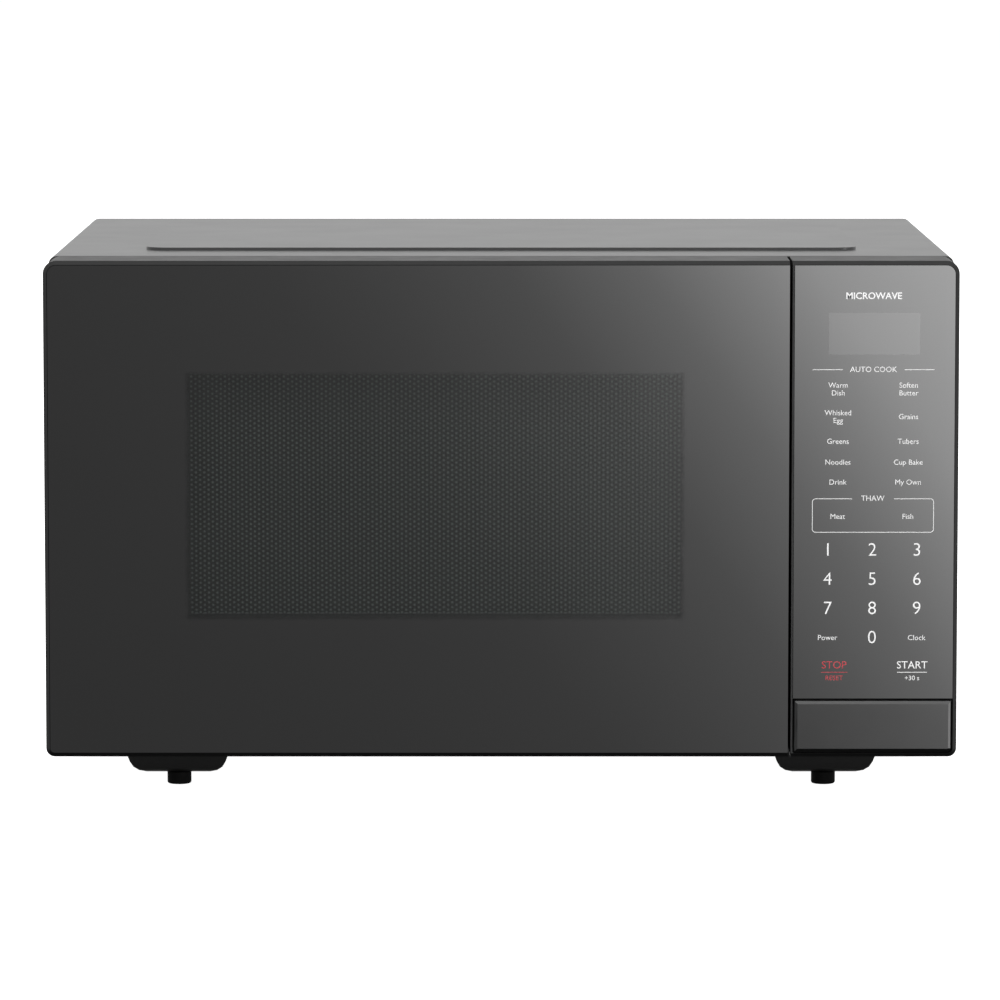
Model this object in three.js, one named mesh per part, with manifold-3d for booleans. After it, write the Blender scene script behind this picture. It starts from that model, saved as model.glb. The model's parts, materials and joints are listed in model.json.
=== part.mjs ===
// Microwave oven: cabinet, cavity, hinged door, push-button door release, turntable and inner parts.
// Millimetres, +X right, +Y to the back, +Z up. The origin is on the table, under the middle of the oven.
import * as THREE from "three";
import { mergeVertices } from "three/addons/utils/BufferGeometryUtils.js";
import Module from "manifold-3d";

const wasm = await Module();
wasm.setup();

// ---------- Driving dimensions ----------
const overallWidth = 520;
const panelTopHeight = 309.5;
const frontUnderside = 25.8;
const cabinetDepth = 374;
const doorDepth = 44.5;
const doorToCabinetGap = 1.5;
const rearSpacerDepth = 10;
const controlWidth = 94.8;
const doorToPanelGap = 1.6;

// Clearances
const seat = 0.3; // between pieces that touch
const slide = 0.6; // round a piece that slides or turns
const free = 2; // round a piece that swings past another

// Cabinet
const sheet = 1;
const cabinetBendRadius = 5;
const embossHalfWidth = 207.3;
const embossFromCabinetFront = 49.6;
const embossRearMargin = 60;
const embossHeight = 1.7;
const embossCornerRadius = 13;
const sideVentCount = 9;
const sideVentLength = 16;
const sideVentWidth = 3;
const sideVentPitch = 8;
const sideVentRows = 2;
const sideVentFromBack = 40;
const sideVentFromUnderside = 60;
const fanVent = { columns: 10, pitch: 8, width: 4, rows: 3, rowPitch: 22, height: 15 };
const topVent = { columns: 12, pitch: 9, width: 4.5, height: 16, fromLeft: 60, fromTop: 22 };
const inletRadius = 7;
const inletBore = 3.6;
const inletFlange = 3;
const inletDepth = 6;
const inletFromBay = 20;
const inletAboveBase = 28;
const spacerWidth = 10;
const spacerHeight = 28;
const spacerChamfer = [2, 4];
const spacerFromFoot = 34;
const spacerFromTop = 70;

// Base and feet
const baseSheet = 1.2;
const baseBulge = 3;
const baseLip = 12;
const baseRibEdge = 8;
const baseVent = { count: 6, pitch: 12, width: 4, length: 32, fromBay: 14, fromBack: 110 };
const footBossDrop = 18.2;
const footBossWidth = 64;
const footBossDepth = 46;
const footBossRun = 7;
const footBossRound = 12;
const footInset = 72.3;
const frontFootFromCabinetFront = 27;
const rearFootFromCabinetBack = 42;
const footRadius = 7;
const footStemRadius = 3;
const footStemHeight = 3.4;
const footChamfer = 1;

// Front outline of the door and control panel
const frontTopRadius = 7.5;
const frontBottomRadius = 5;
const frontBevel = 2.2;
const frontGlass = 3.2;

// Door
const hingeInset = 8;
const hingeFromDoorBack = 11;
const hingePinRadius = 2;
const hingePinLength = 13;
const hingeFromEdge = 21;
const hingeArmThickness = 2.5;
const hingeArmWidth = 8;
const hingePlateReach = 28;
const hingePlateThickness = 1.6;
const hingeStile = 17;
const doorWeb = 2.6;
const doorWall = 3;
const latchStile = 24;
const windowLeftMargin = 81.2;
const windowRightMargin = 60;
const windowBottomMargin = 79.7;
const windowTopMargin = 63.9;
const windowEdge = 4;
const screenSheet = 1;
const screenFlange = 14;
const screenFromWeb = 9;
const filmThickness = 0.5;
const screenFromDoorBack = 6;
const chokeCover = 2.4;

// Cavity
const cavityLeftMargin = 47;
const cavityRightMargin = 26.6;
const cavityFloorHeight = 54.5;
const cavityCeilingMargin = 23;
const cavityToCabinetBack = 20.4;
const cavitySheet = 0.9;
const cavityCornerRadius = 6;
const frontPlateSheet = 1;

// Turntable
const motorRadius = 25;
const motorHeight = 14;
const motorShaftRadius = 3;
const motorRecessEdge = 6;
const motorRecessDepth = 2;
const shaftAboveFloor = 8;
const couplerLobeRadius = 26;
const couplerHubRadius = 9;
const rollerRadius = 7;
const rollerWidth = 7;
const rollerBore = 2.6;
const rollerAxle = 2.1;
const ringFromTrayEdge = 61.5;
const ringWidth = 5;
const ringHeight = 6;
const trayToWall = 12.5;
const trayThickness = 5;
const trayRimRise = 13;
const trayRimWidth = 13;

// Door release
const buttonHeight = 30.3;
const buttonBevel = 2.3;
const buttonDepth = 15;
const buttonWall = 2;
const buttonTravel = 5;
const buttonToGlass = 1;
const postWidth = 9;
const postHeight = 8;
const buttonGuideInset = 16;
const buttonEase = 1.3;
const buttonSideGap = 1.6;
const leverPivotFromCabinetFront = 36;
const leverPivotAboveButton = 40;
const leverThickness = 6;
const leverShaftRadius = 3.2;
const latchTravel = 4;
const hookReach = 22;
const hookHeight = 12;
const hookWidth = 5;
const hookAboveUnderside = 44;
const hookSpacing = 140;
const hookBarb = 3.5;
const latchBarWidth = 9;
const latchBarDepth = 7;
const latchBarEnd = 6;
const springWire = 0.9;
const latchSpringRadius = 2.6;
const latchSpringLength = 18;
const buttonSpringRadius = 3;
const switchBody = [9, 11, 14];
const bracketDepth = 40;
const bracketSheet = 1.6;
const bracketMargin = 14;
const switchPitch = 20;

// Control panel
const housingWall = 2;
const housingWeb = 3;
const displayWidth = 51.7;
const displayHeight = 23.7;
const displayFromTop = 29.4;
const displayDepth = 14;
const displayMargin = 1.5;
const boardMargin = 12;
const relay = { from: [10, 20], size: [20, 14, 15], spacing: 28 };
const boardTransformer = { from: [24, 60], size: [30, 32, 17] };
const boardThickness = 1.6;

// Electronics compartment
const magnetronWidth = 50;
const magnetronSize = 78;
const magnetronFromCabinetFront = 150;
const magnetronBelowMiddle = 16;
const anodeRadius = 17;
const finThickness = 0.8;
const finCount = 5;
const yokeSheet = 1.4;
const magnetThickness = 9;
const magnetRadius = 26;
const antennaRadius = 7;
const filterBoxDepth = 26;
const filterBoxHalf = [28, 22];
const waveguideSheet = 1;
const waveguideDepthX = 24;
const waveguideLength = 74;
const waveguideFromYoke = 2;
const waveguideMargin = 12;
const portHeight = 42;
const portCoverMargin = 6;
const portCoverThickness = 0.6;
const lampFromBack = 70;
const lampFromCeiling = 30;
const lampHoleRadius = 8;
const lampHolderDepth = 34;
const lampHolderHalf = 14;
const cutoutRadius = 8;
const cutoutFromCorner = 60;
const waveguideFromCeiling = 50;
const waveguideBelowMagnetron = 30;
const inverterSize = [84, 120];
const inverterFromBay = 6;
const inverterFromLever = 10;
const inverterLift = 16;
const boardLeg = 6;
const inverterCapacitor = { from: [6, 6], size: [20, 16, 22] };
const inverterRelay = { from: [32, 6], size: [14, 20, 14] };
const inverterCan = { at: [60, 18], radius: 8, height: 26 };
const transformerFrom = [12, 66];
const transformerCore = { width: 42, height: 38, thickness: 12, spacing: 40 };
const transformerLimbRadius = 11;
const transformerCoilRadius = 17;
const transformerCoilMargin = 2;
const heatsinkFrom = [62, 34];
const heatsinkLength = 80;
const heatsinkBase = 4;
const heatsinkFin = { count: 6, pitch: 8, length: 17, thickness: 1.6 };
const filterBoardDepth = 62;
const filterFromTop = 34;
const filterFromBack = 150;
const filterMargins = [8, 14];
const filterChoke = { at: [18, 42], radius: 13, bore: 6, height: 14 };
const filterCapacitor = { from: [38, 34], size: [22, 20, 16] };
const fuseClip = { from: [12, 8], size: [3, 8, 3.2], spacing: 24 };
const fuse = { from: 10, length: 31, radius: 2.9, lift: 6.5, offset: 12 };
const fanSize = 92;
const fanBladeRadius = 38;
const fanHubRadius = 12;
const fanDepth = 26;
const fanAboveBase = 106;
const fanFromBack = 12;
const fanArm = 6;
const fanArmDepth = 2.4;
const fanTab = 10;
const fanMotorRadius = 15;
const fanShaftRadius = 2;
const fanBladeSize = [22, 1.6];
const fanBladePitch = 0.5;
const guideSheet = 1.6;
const fanBladeCount = 5;

// ---------- Places worked out from the dimensions ----------
const totalDepth = doorDepth + doorToCabinetGap + cabinetDepth + rearSpacerDepth;
const left = -overallWidth / 2;
const right = overallWidth / 2;
const front = -totalDepth / 2;
const doorBack = front + doorDepth;
const cabinetFront = doorBack + doorToCabinetGap;
const cabinetBack = cabinetFront + cabinetDepth;
const panelLeft = right - controlWidth;
const doorRight = panelLeft - doorToPanelGap;
const cavityLeft = left + cavityLeftMargin;
const cavityRight = doorRight - cavityRightMargin;
const cavityCeiling = panelTopHeight - cavityCeilingMargin;
const cavityFront = cabinetFront + seat + frontPlateSheet + seat;
const cavityBack = cabinetBack - cavityToCabinetBack;
const cavityCentreX = (cavityLeft + cavityRight) / 2;
const cavityCentreY = (cavityFront + cavityBack) / 2;
const hingeX = left + hingeInset;
const hingeY = doorBack - hingeFromDoorBack;
const hookX = doorRight - latchStile / 2 - 1;
const bayLeft = cavityRight + cavitySheet + seat;
const bayRight = right - sheet - seat;
const basePlateBottom = frontUnderside + seat;
const basePlateTop = basePlateBottom + baseSheet;
const bossBottom = frontUnderside - footBossDrop;
const footX = [left + footInset, right - footInset];
const footY = [cabinetFront + frontFootFromCabinetFront, cabinetBack - rearFootFromCabinetBack];
const inletX = bayLeft + inletFromBay;
const inletZ = basePlateBottom + inletAboveBase;
const fanX = (bayLeft + bayRight) / 2;
const fanZ = basePlateBottom + fanAboveBase;
const lowerHook = frontUnderside + hookAboveUnderside;
const hookLevels = [lowerHook, lowerHook + hookSpacing];
const hingeLevels = [frontUnderside + hingeFromEdge, panelTopHeight - hingeFromEdge];
const magnetronY = cabinetFront + magnetronFromCabinetFront;
const magnetronHeight = (cavityFloorHeight + cavityCeiling) / 2 - magnetronBelowMiddle;
const waveguideY = magnetronY + waveguideFromYoke;
const waveguideBottom = magnetronHeight - waveguideBelowMagnetron;
const waveguideTop = cavityCeiling - waveguideFromCeiling;
const lampY = cavityBack - lampFromBack;
const lampZ = cavityCeiling - lampFromCeiling;

// ---------- Materials ----------
function material(name, colour, roughness, metalness, extra = {}) {
  return new THREE.MeshStandardMaterial({ name, color: colour, roughness, metalness, ...extra });
}
const blackPaint = material("black_paint", 0x1b1b1d, 0.42, 0.2);
const darkPlastic = material("dark_plastic", 0x111113, 0.35, 0);
const mattePlastic = material("matte_plastic", 0x1a1a1c, 0.6, 0);
const whitePlastic = material("white_plastic", 0xd9d8d2, 0.5, 0);
const frontGlassBlack = material("front_glass", 0x08080a, 0.05, 0);
const clearGlass = material("clear_glass", 0xdfe9e6, 0.05, 0, { transparent: true, opacity: 0.5 });
const cavityPaint = material("cavity_paint", 0xa9a7a2, 0.4, 0.3);
const steel = material("steel", 0xb4b5b4, 0.35, 0.9);
const aluminium = material("aluminium", 0xc3c5c8, 0.4, 0.9);
const rubber = material("rubber", 0x151515, 0.85, 0);
const mica = material("mica", 0xa58f6b, 0.6, 0);
const ferrite = material("ferrite", 0x2b2a2b, 0.75, 0);
const laminate = material("board", 0x1f5a33, 0.5, 0);
const copper = material("copper", 0xa5562d, 0.4, 0.8);

// ---------- Geometry helpers ----------
const toXZ = new THREE.Matrix4().makeBasis(
  new THREE.Vector3(1, 0, 0),
  new THREE.Vector3(0, 0, 1),
  new THREE.Vector3(0, -1, 0),
);
const toYZ = new THREE.Matrix4().makeBasis(
  new THREE.Vector3(0, 1, 0),
  new THREE.Vector3(0, 0, 1),
  new THREE.Vector3(1, 0, 0),
);

// A closed geometry as a solid that can be joined and cut.
function solid(geometry) {
  const bare = geometry.clone();
  bare.deleteAttribute("normal");
  bare.deleteAttribute("uv");
  const merged = mergeVertices(bare, 1e-4);
  return new wasm.Manifold(
    new wasm.Mesh({
      numProp: 3,
      vertProperties: new Float32Array(merged.attributes.position.array),
      triVerts: new Uint32Array(merged.index.array),
    }),
  );
}

function geometryOf(shape) {
  const mesh = shape.getMesh();
  const geometry = new THREE.BufferGeometry();
  geometry.setAttribute("position", new THREE.BufferAttribute(mesh.vertProperties, 3));
  geometry.setIndex(new THREE.BufferAttribute(mesh.triVerts, 1));
  geometry.computeVertexNormals();
  return geometry;
}

function block(x0, x1, y0, y1, z0, z1) {
  const box = new THREE.BoxGeometry(x1 - x0, y1 - y0, z1 - z0);
  return solid(box.translate((x0 + x1) / 2, (y0 + y1) / 2, (z0 + z1) / 2));
}

function join(...shapes) {
  return shapes.reduce((sum, shape) => sum.add(shape));
}

// A rectangle with its own radius at each corner: lower left, lower right, upper right, upper left.
function rectangle(u0, u1, v0, v1, radii = 0) {
  const [a, b, c, d] = Array.isArray(radii) ? radii : [radii, radii, radii, radii];
  const outline = new THREE.Shape();
  const corner = (u, v, r, from) => {
    if (r > 0) outline.absarc(u, v, r, from, from + Math.PI / 2, false);
    else outline.lineTo(u, v);
  };
  outline.moveTo(u0 + a, v0);
  corner(u1 - b, v0 + b, b, -Math.PI / 2);
  corner(u1 - c, v1 - c, c, 0);
  corner(u0 + d, v1 - d, d, Math.PI / 2);
  corner(u0 + a, v0 + a, a, Math.PI);
  return outline;
}

function polygon(points) {
  return new THREE.Shape(points.map(([u, v]) => new THREE.Vector2(u, v)));
}

// An outline drawn in the plane across an axis, swept between two places on that axis.
function prism(axis, outline, from, to, curveSegments = 5) {
  const settings = { depth: to - from, bevelEnabled: false, curveSegments };
  const swept = new THREE.ExtrudeGeometry(outline, settings);
  if (axis === "x") swept.applyMatrix4(toYZ).translate(from, 0, 0);
  else if (axis === "y") swept.applyMatrix4(toXZ).translate(0, to, 0);
  else swept.translate(0, 0, from);
  return solid(swept);
}

function rod(axis, a, b, radius, from, to, segments = 20) {
  const cylinder = new THREE.CylinderGeometry(radius, radius, to - from, segments);
  if (axis === "x") cylinder.rotateZ(-Math.PI / 2).translate((from + to) / 2, a, b);
  else if (axis === "y") cylinder.translate(a, (from + to) / 2, b);
  else cylinder.rotateX(Math.PI / 2).translate(a, b, (from + to) / 2);
  return solid(cylinder);
}

function ring(axis, a, b, outer, inner, from, to, segments = 24) {
  const bore = rod(axis, a, b, inner, from - 1, to + 1, segments);
  return rod(axis, a, b, outer, from, to, segments).subtract(bore);
}

// A profile of [radius, height] points turned about +Z.
function turned(points, segments) {
  const profile = points.map(([r, z]) => new THREE.Vector2(r, z));
  return solid(new THREE.LatheGeometry(profile, segments).rotateX(Math.PI / 2));
}

// A coil spring along +Z from the origin.
function coil(radius, wire, length, turns) {
  class Helix extends THREE.Curve {
    getPoint(t, target = new THREE.Vector3()) {
      const angle = 2 * Math.PI * turns * t;
      return target.set(radius * Math.cos(angle), radius * Math.sin(angle), length * t);
    }
  }
  const section = new THREE.Shape().absarc(0, 0, wire / 2, 0, 2 * Math.PI, false);
  const settings = { steps: turns * 8, curveSegments: 3, extrudePath: new Helix(), bevelEnabled: false };
  return new THREE.ExtrudeGeometry(section, settings);
}

const oven = new THREE.Group();
oven.name = "microwave_oven";

function add(parent, name, shape, finish, place = [0, 0, 0]) {
  const mesh = new THREE.Mesh(shape.isBufferGeometry ? shape : geometryOf(shape), finish);
  mesh.name = name;
  mesh.position.set(...place);
  parent.add(mesh);
  return mesh;
}

// ---------- Cabinet ----------
function outerCabinet() {
  const bottom = frontUnderside;
  const radii = [0, 0, cabinetBendRadius, cabinetBendRadius];
  const innerRadii = [0, 0, cabinetBendRadius - sheet, cabinetBendRadius - sheet];
  const outside = rectangle(left, right, bottom, panelTopHeight, radii);
  const inside = rectangle(left + sheet, right - sheet, bottom - 1, panelTopHeight - sheet, innerRadii);
  const embossFront = cabinetFront + embossFromCabinetFront;
  const embossBack = cabinetBack - embossRearMargin;
  const plateau = (inset) =>
    rectangle(
      -embossHalfWidth + inset,
      embossHalfWidth - inset,
      embossFront + inset,
      embossBack - inset,
      embossCornerRadius - inset,
    );
  const raised = prism("z", plateau(0), panelTopHeight - sheet / 2, panelTopHeight + embossHeight);
  const under = prism("z", plateau(sheet), panelTopHeight - 2 * sheet, panelTopHeight + embossHeight - sheet);
  let wrap = prism("y", outside, cabinetFront, cabinetBack);
  wrap = wrap.subtract(prism("y", inside, cabinetFront - 1, cabinetBack + 1));
  wrap = wrap.add(raised).subtract(under);
  const ventFront = cabinetBack - sideVentFromBack - sideVentCount * sideVentPitch;
  for (const side of [left, right]) {
    for (let row = 0; row < sideVentRows; row += 1) {
      for (let i = 0; i < sideVentCount; i += 1) {
        const y = ventFront + i * sideVentPitch;
        const z = bottom + sideVentFromUnderside + row * (sideVentLength + sideVentPitch);
        wrap = wrap.subtract(block(side - free, side + free, y, y + sideVentWidth, z, z + sideVentLength));
      }
    }
  }
  return wrap;
}


// Half a pressing's outline: the sides run in by `run` and a curve of width `round` leads to the flat.
function bowlOutline(middle, halfRim, run, round, rim, flat) {
  const corner = halfRim - run;
  const bend = (2 * rim + 3 * flat) / 5;
  const halfAtBend = halfRim - (run * (rim - bend)) / (rim - flat);
  const outline = new THREE.Shape();
  outline.moveTo(middle + halfRim, rim);
  outline.lineTo(middle - halfRim, rim);
  if (round > 0) {
    outline.lineTo(middle - halfAtBend, bend);
    outline.quadraticCurveTo(middle - corner, flat, middle - corner + round, flat);
    outline.lineTo(middle + corner - round, flat);
    outline.quadraticCurveTo(middle + corner, flat, middle + halfAtBend, bend);
  } else {
    outline.lineTo(middle - corner, flat);
    outline.lineTo(middle + corner, flat);
  }
  return outline;
}

function bowl(x, y, halfX, halfY, run, round, rim, flat) {
  const across = prism("y", bowlOutline(x, halfX, run, round, rim, flat), y - halfY, y + halfY, 4);
  return across.intersect(prism("x", bowlOutline(y, halfY, run, round, rim, flat), x - halfX, x + halfX, 4));
}

function pressedDown(x0, x1, y0, y1, drop, run, round) {
  const x = (x0 + x1) / 2;
  const y = (y0 + y1) / 2;
  const halfX = (x1 - x0) / 2;
  const halfY = (y1 - y0) / 2;
  const t = baseSheet;
  const flat = frontUnderside - drop;
  const outer = bowl(x, y, halfX, halfY, run, round, basePlateBottom + t / 2, flat);
  const hollow = bowl(x, y, halfX - t, halfY - t, run, round, basePlateBottom + 2 * t, flat + t);
  return { outer, hollow };
}

function basePlate() {
  const x0 = left + sheet + seat;
  const x1 = right - sheet - seat;
  const y0 = cabinetFront + seat;
  const y1 = cabinetBack - sheet - seat;
  let plate = block(x0, x1, y0, y1, basePlateBottom, basePlateTop);
  const halfWidth = footBossWidth / 2;
  const halfDepth = footBossDepth / 2;
  const bosses = footX.flatMap((x) =>
    footY.map((y) => {
      const sides = [x - halfWidth, x + halfWidth, y - halfDepth, y + halfDepth];
      return pressedDown(...sides, footBossDrop, footBossRun, footBossRound);
    }),
  );
  const ribBack = footY[1] - halfDepth - baseRibEdge;
  const ribSplit = footX[1] - halfWidth - baseRibEdge;
  const ribLeft = footX[0] + halfWidth + baseRibEdge;
  const mainRib = [ribLeft, ribSplit - baseRibEdge, cabinetFront + baseRibEdge, ribBack];
  const sideRib = [ribSplit, x1 - baseRibEdge, footY[0] + halfDepth + baseRibEdge, ribBack];
  const ribs = [mainRib, sideRib].map((sides) => pressedDown(...sides, baseBulge, baseBulge, 0));
  const pressings = [...bosses, ...ribs];
  for (const { outer } of pressings) plate = plate.add(outer);
  for (const { hollow } of pressings) plate = plate.subtract(hollow);
  plate = plate.add(block(x0, x1, y1 - baseSheet, y1, basePlateBottom, basePlateBottom + baseLip));
  for (let i = 0; i < baseVent.count; i += 1) {
    const x = bayLeft + baseVent.fromBay + i * baseVent.pitch;
    const y = y1 - baseVent.fromBack;
    plate = plate.subtract(block(x, x + baseVent.width, y, y + baseVent.length, 0, basePlateTop + free));
  }
  const stems = footX.flatMap((x) =>
    footY.map((y) => rod("z", x, y, footStemRadius + seat, 0, frontUnderside)),
  );
  return plate.subtract(join(...stems));
}

function foot() {
  const shoulder = bossBottom - seat;
  const top = shoulder + footStemHeight;
  const profile = [
    [0, 0],
    [footRadius - footChamfer, 0],
    [footRadius, footChamfer],
    [footRadius, shoulder],
    [footStemRadius, shoulder],
    [footStemRadius, top],
    [0, top],
  ];
  return turned(profile, 24);
}

function rearPanel() {
  const x0 = left + sheet + seat;
  const x1 = right - sheet - seat;
  const z1 = panelTopHeight - sheet - seat;
  const radii = [0, 0, cabinetBendRadius, cabinetBendRadius];
  let panel = prism("y", rectangle(x0, x1, basePlateBottom, z1, radii), cabinetBack - sheet, cabinetBack);
  const cut = (x, z, { width, height }) => {
    const slot = block(0, width, cabinetBack - free, cabinetBack + free, 0, height);
    panel = panel.subtract(slot.translate([x - width / 2, 0, z - height / 2]));
  };
  for (let i = 0; i < fanVent.columns; i += 1) {
    const x = fanX + (i - (fanVent.columns - 1) / 2) * fanVent.pitch;
    for (let row = 0; row < fanVent.rows; row += 1) {
      cut(x, fanZ + (row - (fanVent.rows - 1) / 2) * fanVent.rowPitch, fanVent);
    }
  }
  for (let i = 0; i < topVent.columns; i += 1) {
    cut(left + topVent.fromLeft + i * topVent.pitch, z1 - topVent.fromTop, topVent);
  }
  const inletHole = rod("y", inletX, inletZ, inletRadius + seat, cabinetBack - free, cabinetBack + free);
  return panel.subtract(inletHole);
}


function cordInlet() {
  const back = cabinetBack + inletFlange + seat;
  const front = cabinetBack - inletDepth;
  const flange = rod("y", inletX, inletZ, inletRadius + inletFlange, cabinetBack + seat, back);
  const neck = rod("y", inletX, inletZ, inletRadius, front, cabinetBack + 2 * seat);
  const clipRadius = inletRadius + inletFlange - slide;
  const clip = ring("y", inletX, inletZ, clipRadius, inletRadius - slide, front, cabinetBack - sheet - seat);
  return join(flange, neck, clip).subtract(rod("y", inletX, inletZ, inletBore, front - 1, back + 1));
}

function rearSpacer() {
  const y0 = cabinetBack + seat;
  const y1 = cabinetBack + rearSpacerDepth;
  const half = spacerHeight / 2;
  const [run, rise] = spacerChamfer;
  const side = polygon([
    [y0, -half],
    [y1 - run, -half],
    [y1, rise - half],
    [y1, half - rise],
    [y1 - run, half],
    [y0, half],
  ]);
  return prism("x", side, -spacerWidth / 2, spacerWidth / 2);
}

function frontPlate() {
  const x1 = doorRight - slide;
  const z0 = basePlateTop + seat;
  const z1 = panelTopHeight - sheet - seat;
  const y0 = cabinetFront + seat;
  const y1 = y0 + frontPlateSheet;
  const radii = [0, 0, 0, cabinetBendRadius];
  let plate = prism("y", rectangle(left + sheet + seat, x1, z0, z1, radii), y0, y1);
  const opening = rectangle(cavityLeft, cavityRight, cavityFloorHeight, cavityCeiling, cavityCornerRadius);
  plate = plate.subtract(prism("y", opening, y0 - 1, y1 + 1));
  for (const z of hookLevels) {
    plate = plate.subtract(hookSlot(z, free / 2, free, y0, y1));
  }
  for (const z of hingeLevels) {
    const half = hingeArmThickness / 2 + seat;
    const halfWidth = hingeArmWidth / 2 + seat;
    plate = plate.subtract(block(hingeX - halfWidth, hingeX + halfWidth, y0 - 1, y1 + 1, z - half, z + half));
  }
  return plate;
}

// The slot that a latch hook passes through, with room for its barb and its travel.
function hookSlot(z, roomLeft, roomRight, y0, y1) {
  const half = hookWidth / 2;
  const z0 = z - latchTravel - slide;
  const z1 = z + hookHeight + hookBarb + slide;
  return block(hookX - half - roomLeft, hookX + half + roomRight, y0 - 1, y1 + 1, z0, z1);
}

// ---------- Cavity ----------
function cavityWrap() {
  const t = cavitySheet;
  const z0 = cavityFloorHeight - t;
  const r = cavityCornerRadius;
  const outside = rectangle(cavityLeft - t, cavityRight + t, z0, cavityCeiling + t, [0, 0, r + t, r + t]);
  const inside = rectangle(cavityLeft, cavityRight, z0 - 1, cavityCeiling, [0, 0, r, r]);
  let wrap = prism("y", outside, cavityFront, cavityBack);
  wrap = wrap.subtract(prism("y", inside, cavityFront - 1, cavityBack + 1));
  const portTop = waveguideTop - waveguideMargin;
  const port = block(
    cavityRight - free,
    cavityRight + free,
    waveguideY + waveguideMargin,
    waveguideY + waveguideLength - waveguideMargin,
    portTop - portHeight,
    portTop,
  );
  const lampHole = rod("x", lampY, lampZ, lampHoleRadius, cavityRight - free, cavityRight + free, 16);
  return wrap.subtract(port).subtract(lampHole);
}

function cavityFloor() {
  const z0 = cavityFloorHeight - cavitySheet;
  let floor = block(cavityLeft + seat, cavityRight - seat, cavityFront, cavityBack, z0, cavityFloorHeight);
  const [x, y] = [cavityCentreX, cavityCentreY];
  const recessRadius = motorRadius + motorRecessEdge;
  const recess = rod("z", x, y, recessRadius, z0 - motorRecessDepth, z0 + seat / 3, 32);
  const dish = rod("z", x, y, recessRadius - 1, z0 + cavitySheet - motorRecessDepth, z0 + free, 32);
  const shaftHole = rod("z", x, y, motorShaftRadius + slide, z0 - 2 * motorRecessDepth, z0 + free);
  return floor.add(recess).subtract(dish).subtract(shaftHole);
}

function cavityBackPanel() {
  const t = cavitySheet;
  const radii = [0, 0, cavityCornerRadius, cavityCornerRadius];
  const z0 = cavityFloorHeight - t;
  const outline = rectangle(cavityLeft - t, cavityRight + t, z0, cavityCeiling + t, radii);
  return prism("y", outline, cavityBack + seat, cavityBack + seat + t);
}

// ---------- Microwave source ----------
function waveguide() {
  const x1 = bayLeft + waveguideDepthX;
  const y1 = waveguideY + waveguideLength;
  const t = waveguideSheet;
  const outside = block(bayLeft, x1, waveguideY, y1, waveguideBottom, waveguideTop);
  const inside = block(bayLeft - 1, x1 - t, waveguideY + t, y1 - t, waveguideBottom + t, waveguideTop - t);
  const hole = rod("x", magnetronCentreY, magnetronHeight, antennaRadius + free, x1 - 2 * t, x1 + t);
  return outside.subtract(inside).subtract(hole);
}

const magnetronCentreY = magnetronY + magnetronSize / 2;
const yokeLeft = bayLeft + waveguideDepthX + seat;
const yokeRight = yokeLeft + magnetronWidth;

function waveguideCover() {
  const y1 = waveguideY + waveguideLength - portCoverMargin;
  const z0 = waveguideTop - waveguideMargin - portHeight - portCoverMargin;
  const [y0, z1] = [waveguideY + portCoverMargin, waveguideTop - portCoverMargin];
  const outline = rectangle(y0, y1, z0, z1, portCoverMargin / 2);
  return prism("x", outline, cavityRight - seat - portCoverThickness, cavityRight - seat);
}

function magnetronYoke() {
  const z0 = magnetronHeight - magnetronSize / 2;
  const z1 = magnetronHeight + magnetronSize / 2;
  const y1 = magnetronY + magnetronSize;
  const t = yokeSheet;
  const outside = block(yokeLeft, yokeRight, magnetronY, y1, z0, z1);
  const inside = block(yokeLeft + t, yokeRight - t, magnetronY - 1, y1 + 1, z0 + t, z1 - t);
  const hole = rod("x", magnetronCentreY, magnetronHeight, antennaRadius + free, yokeLeft - 1, yokeRight + 1);
  return outside.subtract(inside).subtract(hole);
}

const magnetLeft = yokeLeft + yokeSheet + seat;
const anodeLeft = magnetLeft + magnetThickness + seat;
const anodeRight = yokeRight - yokeSheet - 2 * seat - magnetThickness;

function magnetronAnode() {
  const [y, z] = [magnetronCentreY, magnetronHeight];
  const tube = rod("x", y, z, anodeRadius, anodeLeft, anodeRight, 24);
  const stem = rod("x", y, z, antennaRadius - free, anodeRight - 1, yokeRight + 2 * free, 16);
  const antenna = rod("x", y, z, antennaRadius, bayLeft + waveguideDepthX / 4, anodeLeft + 1, 20);
  const reach = magnetronSize / 2 - 2 * yokeSheet;
  const pitch = (anodeRight - anodeLeft - finThickness) / (finCount + 1);
  let whole = join(tube, stem, antenna);
  for (let i = 1; i <= finCount; i += 1) {
    const x = anodeLeft + i * pitch;
    whole = whole.add(block(x, x + finThickness, y - reach, y + reach, z - reach, z + reach));
  }
  return whole;
}

function magnet() {
  const bore = antennaRadius + 1.5 * free;
  return ring("x", magnetronCentreY, magnetronHeight, magnetRadius, bore, 0, magnetThickness, 24);
}

function filterBox() {
  const x0 = yokeRight + seat;
  const x1 = Math.min(x0 + filterBoxDepth, bayRight - 2 * free);
  const t = waveguideSheet;
  const [y, z] = [magnetronCentreY, magnetronHeight];
  const [halfY, halfZ] = filterBoxHalf;
  const shell = block(x0, x1, y - halfY, y + halfY, z - halfZ, z + halfZ);
  const hollow = block(x0 - 1, x1 - t, y - halfY + t, y + halfY - t, z - halfZ + t, z + halfZ - t);
  return shell.subtract(hollow);
}

// ---------- Power ----------
const inverterX = bayLeft + inverterFromBay;
const inverterY = cabinetFront + leverPivotFromCabinetFront + inverterFromLever;
const inverterZ = basePlateBottom + inverterLift;
const sink = 0.5; // how far a part reaches into the board that carries it

// A box that stands on a board: from and size are measured along the board, z is the board's top.
function standing(x, y, z, { from, size }) {
  const [x0, y0] = [x + from[0], y + from[1]];
  return block(x0, x0 + size[0], y0, y0 + size[1], z - sink, z + size[2]);
}

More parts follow.
